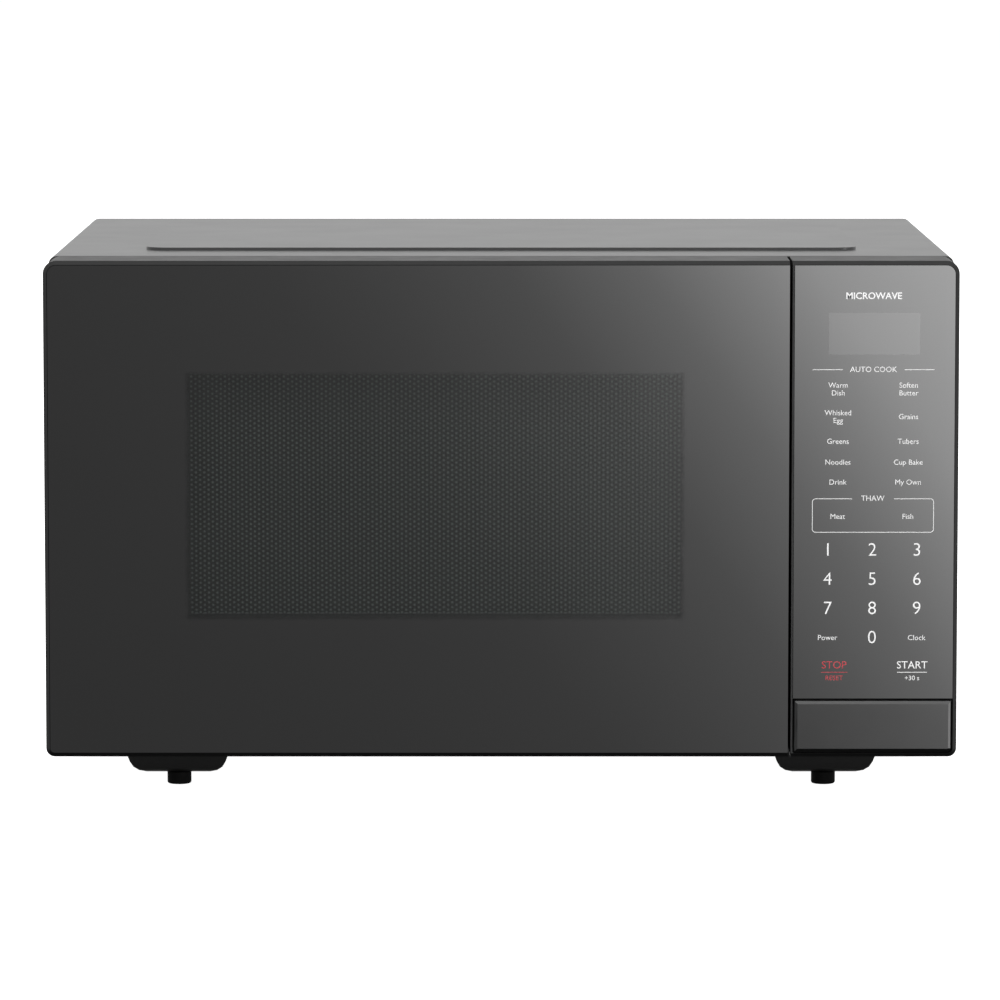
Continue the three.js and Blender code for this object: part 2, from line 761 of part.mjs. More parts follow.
function inverterBoard() {
  const [width, length] = inverterSize;
  const top = inverterZ + boardThickness;
  const board = block(inverterX, inverterX + width, inverterY, inverterY + length, inverterZ, top);
  const legs = [];
  for (const x of [inverterX + boardLeg / 3, inverterX + width - boardLeg]) {
    for (const y of [inverterY + boardLeg / 3, inverterY + length - boardLeg]) {
      legs.push(block(x, x + boardLeg, y, y + boardLeg, basePlateTop + seat, inverterZ + sink));
    }
  }
  const parts = [inverterCapacitor, inverterRelay].map((part) => standing(inverterX, inverterY, top, part));
  const { at, radius, height } = inverterCan;
  const can = rod("z", inverterX + at[0], inverterY + at[1], radius, top - sink, top + height, 16);
  return join(board, ...legs, ...parts, can);
}

function inverterTransformer() {
  const { width, height, thickness, spacing } = transformerCore;
  const x = inverterX + transformerFrom[0];
  const y = inverterY + transformerFrom[1];
  const z = inverterZ + boardThickness + seat;
  const cores = [y, y + spacing].map((from) => block(x, x + width, from, from + thickness, z, z + height));
  const [midX, midZ] = [x + width / 2, z + height / 2];
  const limb = rod("y", midX, midZ, transformerLimbRadius, y + thickness - 1, y + spacing + 1, 20);
  const coilFront = y + thickness + transformerCoilMargin;
  const coilBack = y + spacing - transformerCoilMargin;
  return join(...cores, limb, rod("y", midX, midZ, transformerCoilRadius, coilFront, coilBack, 24));
}

function heatsink() {
  const { count, pitch, length, thickness } = heatsinkFin;
  const x0 = inverterX + heatsinkFrom[0];
  const x1 = x0 + heatsinkBase;
  const y0 = inverterY + heatsinkFrom[1];
  const y1 = y0 + heatsinkLength;
  const z0 = inverterZ + boardThickness + seat;
  let whole = block(x0, x1, y0, y1, z0, z0 + (count - 1) * pitch + thickness);
  for (let i = 0; i < count; i += 1) {
    const z = z0 + i * pitch;
    whole = whole.add(block(x1 - 1, x1 + length, y0, y1, z, z + thickness));
  }
  return whole;
}

const filterZ = panelTopHeight - filterFromTop;
const filterY = cabinetBack - filterFromBack;
const filterX = bayLeft + filterMargins[0];

function filterBoard() {
  const x1 = bayRight - filterMargins[1];
  const top = filterZ + boardThickness;
  const board = block(filterX, x1, filterY, filterY + filterBoardDepth, filterZ, top);
  const { at, radius, bore, height } = filterChoke;
  const choke = ring("z", filterX + at[0], filterY + at[1], radius, bore, top - sink, top + height, 20);
  const capacitor = standing(filterX, filterY, top, filterCapacitor);
  const clips = [0, fuseClip.spacing].map((along) => standing(filterX + along, filterY, top, fuseClip));
  const legX = bayLeft + seat;
  const legY = filterY + boardLeg;
  const leg = block(legX, filterX + boardLeg, legY, legY + boardLeg, filterZ - boardLeg, filterZ + sink);
  return join(board, choke, capacitor, ...clips, leg);
}

function lineFuse() {
  const { from, length, radius, lift, offset } = fuse;
  const z = filterZ + boardThickness + lift;
  return rod("x", filterY + offset, z, radius, filterX + from, filterX + from + length, 16);
}

// ---------- Cooling ----------
const fanBack = cabinetBack - fanFromBack;
const fanFront = fanBack - fanDepth;

function fanShroud() {
  const half = fanSize / 2;
  const arm = fanArm / 2;
  const reach = half - arm;
  const outline = rectangle(fanX - half, fanX + half, fanZ - half, fanZ + half, fanArm);
  const body = prism("y", outline, fanFront, fanBack);
  const bore = rod("y", fanX, fanZ, fanBladeRadius + free, fanFront - 1, fanBack + 1, 32);
  const armFront = fanBack - fanArmDepth;
  const spider = join(
    block(fanX - reach, fanX + reach, armFront, fanBack, fanZ - arm, fanZ + arm),
    block(fanX - arm, fanX + arm, armFront, fanBack, fanZ - reach, fanZ + reach),
  );
  const tabs = [fanX - half + arm, fanX + half - arm - fanTab].map((x) =>
    block(x, x + fanTab, fanBack - free, cabinetBack - sheet - seat, fanZ + reach - fanTab, fanZ + reach),
  );
  const shaftHole = rod("y", fanX, fanZ, fanShaftRadius + free, armFront - 1, fanBack + 1, 16);
  return join(body.subtract(bore), spider, ...tabs).subtract(shaftHole);
}

function fanMotor() {
  const can = rod("y", fanX, fanZ, fanMotorRadius, fanBack + seat, cabinetBack - sheet - 2 * seat, 24);
  return can.add(rod("y", fanX, fanZ, fanShaftRadius, fanBack - fanDepth / 3, fanBack + 1, 12));
}

function fanImpeller() {
  const length = fanDepth - 5 * free;
  let wheel = rod("y", 0, 0, fanHubRadius, -length / 2, length / 2, 20);
  for (let i = 0; i < fanBladeCount; i += 1) {
    const blade = new THREE.BoxGeometry(...fanBladeSize, fanBladeRadius - fanHubRadius + free);
    blade.rotateZ(fanBladePitch);
    blade.translate(0, 0, (fanBladeRadius + fanHubRadius - free) / 2);
    blade.rotateY((2 * Math.PI * i) / fanBladeCount);
    wheel = wheel.add(solid(blade));
  }
  return wheel.subtract(rod("y", 0, 0, fanShaftRadius + seat, -length, length, 12));
}

function airGuide() {
  const y0 = magnetronY + magnetronSize + seat;
  const y1 = fanFront - seat;
  const z0 = magnetronHeight - magnetronSize / 2;
  const z1 = magnetronHeight + magnetronSize / 2;
  const t = guideSheet;
  const outside = block(yokeLeft, yokeRight, y0, y1, z0, z1);
  return outside.subtract(block(yokeLeft + t, yokeRight - t, y0 - 1, y1 + 1, z0 + t, z1 - t));
}

// ---------- Lamp and cutout ----------
function lampHolder() {
  const half = lampHolderHalf;
  const x1 = bayLeft + lampHolderDepth;
  const body = block(bayLeft, x1, lampY - half, lampY + half, lampZ - half, lampZ + half);
  const hollow = rod("x", lampY, lampZ, half - free, bayLeft - 1, x1 - lampHoleRadius, 20);
  return body.subtract(hollow);
}

function ovenLamp() {
  const profile = [
    [0, 0],
    [4, 1.4],
    [7, 5],
    [7, 12],
    [5, 16],
    [5, 24],
    [0, 24],
  ];
  return turned(profile, 20);
}

function thermalCutout() {
  const x = cavityRight - cutoutFromCorner;
  const y = cavityBack - cutoutFromCorner;
  const z = cavityCeiling + cavitySheet + seat;
  const disc = rod("z", x, y, cutoutRadius, z, z + 5, 20);
  return disc.add(block(x - 10, x + 10, y - 4, y + 4, z, z + 1.2));
}

// ---------- Turntable ----------
const turntable = new THREE.Group();
turntable.position.set(cavityCentreX, cavityCentreY, cavityFloorHeight);
const trayUnderside = seat + 2 * rollerRadius + seat;
const trayRadius = Math.min(cavityRight - cavityLeft, cavityBack - cavityFront) / 2 - trayToWall;
const ringRadius = trayRadius - ringFromTrayEdge;

function turntableMotor() {
  const top = -cavitySheet - motorRecessDepth - seat;
  const body = rod("z", 0, 0, motorRadius, top - motorHeight, top, 28);
  const gearbox = block(-motorRadius - 8, -motorRadius + 6, -9, 9, top - motorHeight + 2, top - 3);
  const shaft = rod("z", 0, 0, motorShaftRadius, top - 1, shaftAboveFloor, 16);
  return join(body, gearbox, shaft);
}

function turntableCoupler() {
  let hub = rod("z", 0, 0, couplerHubRadius, 1.5, trayUnderside - seat, 24);
  for (let i = 0; i < 3; i += 1) {
    const lobe = new THREE.BoxGeometry(couplerLobeRadius, 9, 5);
    lobe.translate(couplerLobeRadius / 2, 0, trayUnderside - seat - 2.5);
    lobe.rotateZ((2 * Math.PI * i) / 3);
    hub = hub.add(solid(lobe));
  }
  return hub.subtract(rod("z", 0, 0, motorShaftRadius + seat, 0, shaftAboveFloor + seat, 16));
}

function glassTray() {
  const z = trayUnderside;
  const t = trayThickness;
  const flat = trayRadius - 3 * trayRimWidth;
  return turned(
    [
      [0, z],
      [flat, z],
      [trayRadius - trayRimWidth, z + 4],
      [trayRadius, z + trayRimRise - 3],
      [trayRadius, z + trayRimRise],
      [trayRadius - 3, z + trayRimRise + 1],
      [trayRadius - trayRimWidth - 1, z + 4 + t],
      [flat - 1, z + t],
      [0, z + t],
    ],
    48,
  );
}

function rollerRing() {
  const axis = seat + rollerRadius;
  const z0 = axis - ringHeight / 2;
  const z1 = axis + ringHeight / 2;
  let whole = ring("z", 0, 0, ringRadius + ringWidth / 2, ringRadius - ringWidth / 2, z0, z1, 48);
  for (let i = 0; i < 3; i += 1) {
    const stub = new THREE.CylinderGeometry(rollerAxle, rollerAxle, rollerWidth + 6, 12);
    stub.rotateZ(-Math.PI / 2).translate(ringRadius + rollerWidth / 2 + 1, 0, axis);
    stub.rotateZ((2 * Math.PI * i) / 3);
    whole = whole.add(solid(stub));
  }
  return whole;
}

function roller() {
  const half = rollerWidth / 2;
  const r = rollerRadius;
  const profile = [
    [rollerBore, -half],
    [r - 1, -half],
    [r, 1 - half],
    [r, half - 1],
    [r - 1, half],
    [rollerBore, half],
    [rollerBore, -half],
  ];
  return turned(profile, 24);
}

// ---------- Door ----------
// The door and the control panel share one bevelled outline, parted at the gap between them.
const frontRadii = [frontBottomRadius, frontBottomRadius, frontTopRadius, frontTopRadius];

function frontBlank(x0, x1) {
  const outline = rectangle(left, right, frontUnderside, panelTopHeight, frontRadii);
  const bevelled = new THREE.ExtrudeGeometry(outline, {
    depth: doorDepth,
    bevelSegments: 1,
    bevelThickness: frontBevel,
    bevelSize: frontBevel,
    bevelOffset: -frontBevel,
    curveSegments: 5,
  });
  bevelled.applyMatrix4(toXZ).translate(0, front + frontBevel + doorDepth, 0);
  const keep = block(x0, x1, front - 1, doorBack, 0, panelTopHeight + 1);
  return solid(bevelled).intersect(keep);
}

const glassTop = panelTopHeight - frontBevel;
const glassBottom = frontUnderside + frontBevel;
const glassRadii = frontRadii.map((radius) => radius - frontBevel);

function glassOutline(x0, x1, z0, z1, inset, corners) {
  const radii = corners.map((rounded, i) => (rounded ? glassRadii[i] - inset : 0));
  return rectangle(x0 + inset, x1 - inset, z0 + inset, z1 - inset, radii);
}

const windowLeft = left + windowLeftMargin;
const windowRight = doorRight - windowRightMargin;
const windowBottom = frontUnderside + windowBottomMargin;
const windowTop = panelTopHeight - windowTopMargin;
const pocketLeft = left + hingeStile;
const pocketRight = doorRight - doorWall;
const pocketBottom = frontUnderside + doorWall;
const pocketTop = panelTopHeight - doorWall;
const webFront = front + frontGlass + 2 * seat;
const webBack = webFront + doorWeb;

function doorFrame() {
  const rearRounded = rectangle(left, doorRight + free, front - 1, doorBack, [0, 0, 0, hingeInset]);
  let frame = frontBlank(left, doorRight).intersect(prism("z", rearRounded, 0, panelTopHeight + 1, 6));
  const bevelled = [left + frontBevel, doorRight + frontTopRadius];
  const glassPocket = glassOutline(...bevelled, glassBottom, glassTop, 0, [true, false, false, true]);
  frame = frame.subtract(prism("y", glassPocket, front - 1, webFront));
  frame = frame.subtract(block(pocketLeft, pocketRight, webBack, doorBack + 1, pocketBottom, pocketTop));
  const edge = windowEdge;
  const sides = [windowLeft - edge, windowRight + edge, windowBottom - edge, windowTop + edge];
  const opening = rectangle(...sides, edge);
  frame = frame.subtract(prism("y", opening, webFront - 1, webBack + 1));
  for (const z of hingeLevels) {
    const pinHalf = hingePinLength / 2 + slide;
    const armHalf = hingeArmThickness / 2 + slide;
    const sweep = hingeFromDoorBack + hingeArmThickness;
    frame = frame.subtract(rod("z", hingeX, hingeY, hingePinRadius + slide, z - pinHalf, z + pinHalf, 16));
    frame = frame.subtract(rod("z", hingeX, hingeY, sweep, z - armHalf, z + armHalf, 32));
  }
  return frame;
}

function doorGlass() {
  const sides = [left + frontBevel, doorRight + seat, glassBottom, glassTop];
  return prism("y", glassOutline(...sides, seat, [true, false, false, true]), front, front + frontGlass);
}

// The screen is a pan: its window part stands back from its flanges, which fold to the front.
function doorScreen() {
  const t = screenSheet;
  const x0 = pocketLeft + seat;
  const x1 = doorRight - latchStile;
  const z0 = pocketBottom + seat;
  const z1 = pocketTop - seat;
  const back = doorBack - screenFromDoorBack;
  const rim = webBack + seat;
  let pan = block(x0, x1, rim, back, z0, z1);
  pan = pan.subtract(block(x0 + t, x1 - t, rim - 1, back - t, z0 + t, z1 - t));
  const wellFront = webBack + screenFromWeb;
  pan = pan.subtract(screenWell(0, back - t - 1, back + 1));
  return pan.add(screenWell(t, wellFront, back - t / 2).subtract(screenWell(0, wellFront + t, back + 1)));
}

// A block round the window that is grown by the screen's flange and by a little more.
function screenWell(more, y0, y1) {
  const grow = screenFlange + more;
  return block(windowLeft - grow, windowRight + grow, y0, y1, windowBottom - grow, windowTop + grow);
}

function screenFilm() {
  const y0 = webBack + screenFromWeb + screenSheet + seat;
  return screenWell(-1, y0, y0 + filmThickness);
}

function doorChokeCover() {
  const y0 = doorBack - chokeCover;
  const sides = [pocketLeft + seat, pocketRight - seat, pocketBottom + seat, pocketTop - seat];
  let cover = prism("y", rectangle(...sides, 3), y0, doorBack);
  const grow = screenFlange;
  const window = [windowLeft - grow, windowRight + grow, windowBottom - grow, windowTop + grow];
  cover = cover.subtract(prism("y", rectangle(...window, 5), y0 - 1, doorBack + 1));
  for (const z of hookLevels) cover = cover.subtract(hookSlot(z, slide, slide, y0, doorBack));
  return cover;
}

function hingeBracket() {
  const y0 = cavityFront + seat;
  const halfArm = hingeArmThickness / 2;
  const halfPin = hingePinLength / 2;
  const x0 = hingeX - hingeArmWidth / 2;
  const plate = block(x0, hingeX + hingePlateReach, y0, y0 + hingePlateThickness, -halfPin, halfPin);
  const arm = block(x0, x0 + hingeArmWidth, hingeY, y0 + hingePlateThickness / 2, -halfArm, halfArm);
  const eye = rod("z", hingeX, hingeY, hingeArmWidth / 2, -halfArm, halfArm, 20);
  const pin = rod("z", hingeX, hingeY, hingePinRadius, -halfPin, halfPin, 16);
  return join(plate, arm, eye, pin);
}

// ---------- Latch ----------
const latchBarBack = doorBack - chokeCover - slide;
const latchBarTop = hookLevels[1] + hookHeight + latchBarEnd;

function latchBar() {
  const half = latchBarWidth / 2;
  const front = latchBarBack - latchBarDepth;
  let bar = block(hookX - half, hookX + half, front, latchBarBack, lowerHook - latchBarEnd, latchBarTop);
  const tip = doorBack + hookReach;
  const chamfer = hookBarb - seat;
  for (const z of hookLevels) {
    const shank = z + hookHeight - free;
    const outline = polygon([
      [latchBarBack - 1, z],
      [tip - chamfer, z],
      [tip, z + chamfer],
      [tip - chamfer, z + hookHeight],
      [tip - 2 * chamfer, z + hookHeight + hookBarb],
      [tip - 3 * chamfer, z + hookHeight + hookBarb],
      [tip - 3 * chamfer, shank],
      [latchBarBack - 1, shank],
    ]);
    bar = bar.add(prism("x", outline, hookX - hookWidth / 2, hookX + hookWidth / 2));
  }
  return bar;
}

function releaseLever() {
  const fingerLeft = hookX - hookWidth / 2;
  const shaftLeft = bracketLeft + 2;
  const shaftRight = buttonCentreX + postWidth / 2 + 3;
  const shaft = rod("x", leverY, leverZ, leverShaftRadius, shaftLeft, shaftRight, 16);
  const reachY = cabinetFront + 8;
  const hookTop = lowerHook + hookHeight + hookBarb + slide;
  const finger = polygon([
    [reachY, hookTop],
    [reachY + 8, hookTop],
    [leverY + 3, leverZ - 2],
    [leverY - 2, leverZ + 3],
    [reachY, hookTop + leverThickness],
  ]);
  const tail = polygon([
    [postTip + slide, buttonCentreZ - 5],
    [postTip + slide + leverThickness, buttonCentreZ - 5],
    [leverY + 3, leverZ],
    [leverY - 3, leverZ],
    [postTip + slide, buttonCentreZ + 5],
  ]);
  const fingerBar = prism("x", finger, fingerLeft, hookX + hookWidth / 2);
  const tailBar = prism("x", tail, buttonCentreX - postWidth / 2, shaftRight);
  return join(shaft, fingerBar, tailBar);
}

const bracketLeft = doorRight - latchStile + 1;
const bracketRight = hookX - hookWidth / 2 - free;

function interlockBracket() {
  const t = bracketSheet;
  const y0 = cavityFront + seat;
  const y1 = y0 + bracketDepth;
  const z0 = lowerHook - bracketMargin;
  const z1 = hookLevels[1] + hookHeight + bracketMargin;
  const spine = block(bracketLeft, bracketRight, y0, y1, z0, z1);
  const hollow = block(bracketLeft + t, bracketRight + 1, y0 + t, y1 - t, z0 + t, z1 - t);
  const bearing = rod("x", leverY, leverZ, leverShaftRadius + 2 * t, bracketLeft, bracketRight);
  const bore = rod("x", leverY, leverZ, leverShaftRadius + slide, bracketLeft - 1, bracketRight + 1);
  return spine.subtract(hollow).add(bearing).subtract(bore);
}

function interlockSwitch() {
  const [width, depth, height] = switchBody;
  const x0 = bracketRight + seat;
  const body = block(x0, x0 + width, -depth, 0, -height / 2, height / 2);
  const plunger = block(x0 + free, x0 + width - free, -depth - bracketSheet, -depth + sink, -free, free);
  return body.add(plunger);
}

// ---------- Door-open button ----------
const buttonLeft = panelLeft + buttonSideGap;
const buttonRight = right - frontBevel - seat;
const buttonBottom = frontUnderside + frontBevel + seat;
const buttonTop = buttonBottom + buttonHeight;
const buttonCentreX = (buttonLeft + buttonRight) / 2;
const buttonCentreZ = (buttonBottom + buttonTop) / 2;
const panelGlassBottom = buttonTop + buttonToGlass;
const leverY = cabinetFront + leverPivotFromCabinetFront;
const leverZ = buttonCentreZ + leverPivotAboveButton;
const postTip = cabinetFront + 4;
const buttonRecessBack = front + buttonDepth + buttonTravel + 3;

function doorButton() {
  const outline = rectangle(buttonLeft, buttonRight, buttonBottom, buttonTop, [0, glassRadii[1], 0, 0]);
  const bevelled = new THREE.ExtrudeGeometry(outline, {
    depth: buttonDepth,
    bevelSegments: 1,
    bevelThickness: buttonEase,
    bevelSize: buttonBevel,
    bevelOffset: -buttonBevel,
    curveSegments: 4,
  });
  const back = front + buttonDepth;
  bevelled.applyMatrix4(toXZ).translate(0, back + buttonEase, 0);
  const keep = block(buttonLeft - 1, buttonRight + 1, front - 1, back, 0, buttonTop + 1);
  const w = buttonWall + 1;
  const inside = [buttonLeft + w, buttonRight - w, front + w, back + 1, buttonBottom + w, buttonTop - w];
  const shell = solid(bevelled).intersect(keep).subtract(block(...inside));
  const bar = (x, width, tip) => {
    const [z0, z1] = [buttonCentreZ - postHeight / 2, buttonCentreZ + postHeight / 2];
    return block(x - width / 2, x + width / 2, front + w - sink, tip, z0, z1);
  };
  const guideTip = front + doorDepth - buttonWall - 2 * buttonTravel;
  const guides = [buttonLeft + buttonGuideInset, buttonRight - buttonGuideInset].map((x) =>
    bar(x, postHeight, guideTip),
  );
  return join(shell, bar(buttonCentreX, postWidth, postTip), ...guides);
}

// ---------- Control panel ----------
const housingPocketLeft = panelLeft + housingWall;
const housingPocketRight = right - housingWall - 1;
const displayLeft = buttonCentreX - displayWidth / 2 - 0.4;
const displayRight = displayLeft + displayWidth;
const displayTop = panelTopHeight - displayFromTop;
const displayBottom = displayTop - displayHeight;

function controlHousing() {
  const rearRounded = rectangle(left, right, front - 1, doorBack, [0, 0, housingWall, 0]);
  let housing = frontBlank(panelLeft, right).intersect(prism("z", rearRounded, 0, panelTopHeight + 1, 3));
  const pocketSides = [panelLeft + 1, right - frontBevel, panelGlassBottom - slide / 2, glassTop];
  const pocket = glassOutline(...pocketSides, 0, [false, false, true, false]);
  housing = housing.subtract(prism("y", pocket, front - 1, webFront));
  const webBehind = webFront + housingWeb;
  const dividerTop = panelGlassBottom + housingWall;
  const roof = panelTopHeight - housingWeb;
  const bay = block(housingPocketLeft, housingPocketRight, webBehind, doorBack + 1, dividerTop, roof);
  const holeSides = [buttonLeft - slide, buttonRight + seat, buttonBottom - seat, buttonTop + slide];
  const hole = rectangle(...holeSides, [buttonEase, glassRadii[1], 0, 0]);
  const half = postHeight / 2 + free;
  const [x0, x1] = [buttonLeft + 2 * buttonWall, buttonRight - 2 * buttonWall];
  const ledge = block(x0, x1, front, doorBack + 1, buttonCentreZ - half, buttonCentreZ + half);
  const display = rectangle(displayLeft, displayRight, displayBottom, displayTop, 1);
  return housing
    .subtract(bay)
    .subtract(prism("y", hole, front - 1, buttonRecessBack))
    .subtract(ledge)
    .subtract(prism("y", display, webFront - 1, webBehind + 1));
}

function controlGlass() {
  const sides = [panelLeft + 1, right - frontBevel, panelGlassBottom - seat, glassTop];
  return prism("y", glassOutline(...sides, seat, [false, false, true, false]), front, front + frontGlass);
}

const controlBoardY = webFront + housingWeb + displayDepth;

function controlBoard() {
  const x0 = housingPocketLeft + free;
  const x1 = housingPocketRight - free;
  const back = controlBoardY + boardThickness;
  const z0 = panelGlassBottom + boardMargin;
  const board = block(x0, x1, controlBoardY, back, z0, displayTop + boardMargin);
  const behind = ({ from, size }, along = 0) => {
    const [x, z] = [x0 + from[0] + along, z0 + from[1]];
    return block(x, x + size[0], back - sink, back + size[2], z, z + size[1]);
  };
  return join(board, behind(relay), behind(relay, relay.spacing), behind(boardTransformer));
}

function displayModule() {
  const m = displayMargin;
  const [x0, x1] = [displayLeft + m, displayRight - m];
  return block(x0, x1, webFront + 2 * seat, controlBoardY - seat, displayBottom + m, displayTop - m);
}

// ---------- Assembly ----------
add(oven, "outer_cabinet", outerCabinet(), blackPaint);
add(oven, "base_plate", basePlate(), blackPaint);
add(oven, "rear_panel", rearPanel(), blackPaint);
add(oven, "cord_inlet", cordInlet(), mattePlastic);
add(oven, "front_plate", frontPlate(), cavityPaint);
add(oven, "cavity_wrap", cavityWrap(), cavityPaint);
add(oven, "cavity_floor", cavityFloor(), cavityPaint);
add(oven, "cavity_back", cavityBackPanel(), cavityPaint);
footX.forEach((x, i) => {
  const side = i ? "right" : "left";
  add(oven, `foot_front_${side}`, foot(), rubber, [x, footY[0], 0]);
  add(oven, `foot_rear_${side}`, foot(), rubber, [x, footY[1], 0]);
  const spacerX = x + (i ? spacerFromFoot : -spacerFromFoot);
  add(oven, `rear_spacer_${side}`, rearSpacer(), mattePlastic, [spacerX, 0, panelTopHeight - spacerFromTop]);
});

add(oven, "waveguide", waveguide(), steel);
add(oven, "waveguide_cover", waveguideCover(), mica);
add(oven, "magnetron_yoke", magnetronYoke(), steel);
add(oven, "magnetron_anode", magnetronAnode(), aluminium);
add(oven, "magnetron_magnet_inner", magnet(), ferrite, [magnetLeft, 0, 0]);
add(oven, "magnetron_magnet_outer", magnet(), ferrite, [anodeRight + seat, 0, 0]);
add(oven, "magnetron_filter_box", filterBox(), steel);
add(oven, "inverter_board", inverterBoard(), laminate);
add(oven, "inverter_transformer", inverterTransformer(), copper);
add(oven, "inverter_heatsink", heatsink(), aluminium);
add(oven, "filter_board", filterBoard(), laminate);
add(oven, "line_fuse", lineFuse(), clearGlass);
add(oven, "fan_shroud", fanShroud(), mattePlastic);
add(oven, "fan_motor", fanMotor(), steel);
add(oven, "air_guide", airGuide(), mattePlastic);
const fan = new THREE.Group();
fan.position.set(fanX, (fanFront + fanBack) / 2 - 3, fanZ);
oven.add(fan);
add(fan, "fan_impeller", fanImpeller(), whitePlastic);
add(oven, "lamp_holder", lampHolder(), whitePlastic);
const lampMesh = add(oven, "oven_lamp", ovenLamp(), clearGlass, [bayLeft + 1, lampY, lampZ]);
lampMesh.rotation.y = Math.PI / 2;
add(oven, "thermal_cutout", thermalCutout(), steel);

oven.add(turntable);
add(turntable, "turntable_motor", turntableMotor(), steel);
add(turntable, "turntable_coupler", turntableCoupler(), whitePlastic);
add(turntable, "roller_ring", rollerRing(), mattePlastic);
add(turntable, "glass_tray", glassTray(), clearGlass);
for (let i = 0; i < 3; i += 1) {
  const spoke = new THREE.Group();
  spoke.rotation.z = (2 * Math.PI * i) / 3;
  turntable.add(spoke);
  const place = [ringRadius + ringWidth / 2 + seat + rollerWidth / 2, 0, seat + rollerRadius];
  const wheel = add(spoke, `roller_${i + 1}`, roller(), whitePlastic, place);
  wheel.rotation.y = Math.PI / 2;
}

const door = new THREE.Group();
oven.add(door);
add(door, "door_frame", doorFrame(), darkPlastic);
add(door, "door_glass", doorGlass(), frontGlassBlack);
add(door, "door_screen", doorScreen(), blackPaint);
add(door, "door_screen_film", screenFilm(), clearGlass);
add(door, "door_choke_cover", doorChokeCover(), darkPlastic);
add(door, "latch_bar", latchBar(), whitePlastic);
const latchSpringStart = latchBarTop + springWire / 2 + slide;
const latchSpringPlace = [hookX, latchBarBack - latchBarDepth / 2, latchSpringStart];
add(door, "latch_spring", coil(latchSpringRadius, springWire, latchSpringLength, 4), steel, latchSpringPlace);
add(oven, "hinge_bracket_lower", hingeBracket(), steel, [0, 0, hingeLevels[0]]);
add(oven, "hinge_bracket_upper", hingeBracket(), steel, [0, 0, hingeLevels[1]]);

add(oven, "interlock_bracket", interlockBracket(), mattePlastic);
const switchBack = doorBack + hookReach + switchBody[1] + latchBarDepth;
["primary", "secondary", "monitor"].forEach((role, i) => {
  const z = hookLevels[1] + hookHeight / 2 - i * switchPitch;
  add(oven, `${role}_switch`, interlockSwitch(), mattePlastic, [0, switchBack, z]);
});
add(oven, "release_lever", releaseLever(), whitePlastic);
add(oven, "door_button", doorButton(), darkPlastic);
const springStart = front + buttonWall + 1 + springWire / 2 + seat;
const springLength = buttonRecessBack - springStart - springWire / 2 - seat;
const buttonSpringZ = buttonCentreZ + postHeight / 2 + buttonSpringRadius + 2 * slide;
const buttonCoil = coil(buttonSpringRadius, springWire, springLength, 4);
const buttonSpringPlace = [buttonCentreX, springStart, buttonSpringZ];
const buttonSpring = add(oven, "button_spring", buttonCoil, steel, buttonSpringPlace);
buttonSpring.rotation.x = -Math.PI / 2;
add(oven, "control_housing", controlHousing(), darkPlastic);
add(oven, "control_glass", controlGlass(), frontGlassBlack);
add(oven, "control_board", controlBoard(), laminate);
add(oven, "display_module", displayModule(), mattePlastic);

export default oven;
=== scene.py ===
"""The looks of a countertop microwave oven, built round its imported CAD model. Metres, +Z up."""
import json
import math

import bmesh
import bpy
from mathutils import Matrix, Vector


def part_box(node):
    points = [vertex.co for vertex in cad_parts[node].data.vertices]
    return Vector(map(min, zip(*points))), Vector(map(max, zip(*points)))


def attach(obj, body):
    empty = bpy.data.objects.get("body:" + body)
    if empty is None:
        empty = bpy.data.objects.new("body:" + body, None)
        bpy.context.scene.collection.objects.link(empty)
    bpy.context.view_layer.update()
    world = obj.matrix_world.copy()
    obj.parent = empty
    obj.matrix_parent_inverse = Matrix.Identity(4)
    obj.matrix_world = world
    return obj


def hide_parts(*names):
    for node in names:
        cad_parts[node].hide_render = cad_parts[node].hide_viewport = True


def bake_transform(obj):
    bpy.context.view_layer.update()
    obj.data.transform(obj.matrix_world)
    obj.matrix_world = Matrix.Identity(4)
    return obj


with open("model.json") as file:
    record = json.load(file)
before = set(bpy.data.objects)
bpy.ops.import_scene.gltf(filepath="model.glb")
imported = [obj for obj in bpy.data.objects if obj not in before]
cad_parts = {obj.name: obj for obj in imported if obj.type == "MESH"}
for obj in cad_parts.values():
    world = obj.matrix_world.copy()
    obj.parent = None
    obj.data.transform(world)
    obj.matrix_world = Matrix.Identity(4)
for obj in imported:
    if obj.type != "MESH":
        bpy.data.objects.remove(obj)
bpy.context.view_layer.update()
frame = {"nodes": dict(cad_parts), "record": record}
MM = 0.001


def corners(node):
    """Lowest and highest corner of a CAD node as vectors."""
    lo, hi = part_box(node)
    return Vector(lo), Vector(hi)


DOOR_LO, DOOR_HI = corners("door_frame")
GLASS_LO, GLASS_HI = corners("control_glass")
BUTTON_LO, BUTTON_HI = corners("door_button")
CABINET_LO, CABINET_HI = corners("outer_cabinet")
FILM_LO, FILM_HI = corners("door_screen_film")
FRONT_Y = DOOR_LO.y
FILM_MARGIN = 13 * MM
WINDOW_X = (FILM_LO.x + FILM_MARGIN, FILM_HI.x - FILM_MARGIN)
WINDOW_Z = (FILM_LO.z + FILM_MARGIN, FILM_HI.z - FILM_MARGIN)
DISPLAY_LO, DISPLAY_HI = corners("display_module")
DISPLAY_EDGE = 1.5 * MM
DISPLAY = (
    (DISPLAY_LO.x - DISPLAY_EDGE, DISPLAY_HI.x + DISPLAY_EDGE),
    (DISPLAY_LO.z - DISPLAY_EDGE, DISPLAY_HI.z + DISPLAY_EDGE),
)
DISPLAY_TONE = 0.035
WINDOW_TINT = (0.66, 0.68, 0.67)
GLASS_IOR = 1.46
EMBOSS_RISE = 1.7 * MM
CABINET_TOP = CABINET_HI.z - EMBOSS_RISE
SHEET = 1.0 * MM
SLOTS = {part["node"]: part["material_slot"] for part in frame["record"]["subparts"]}


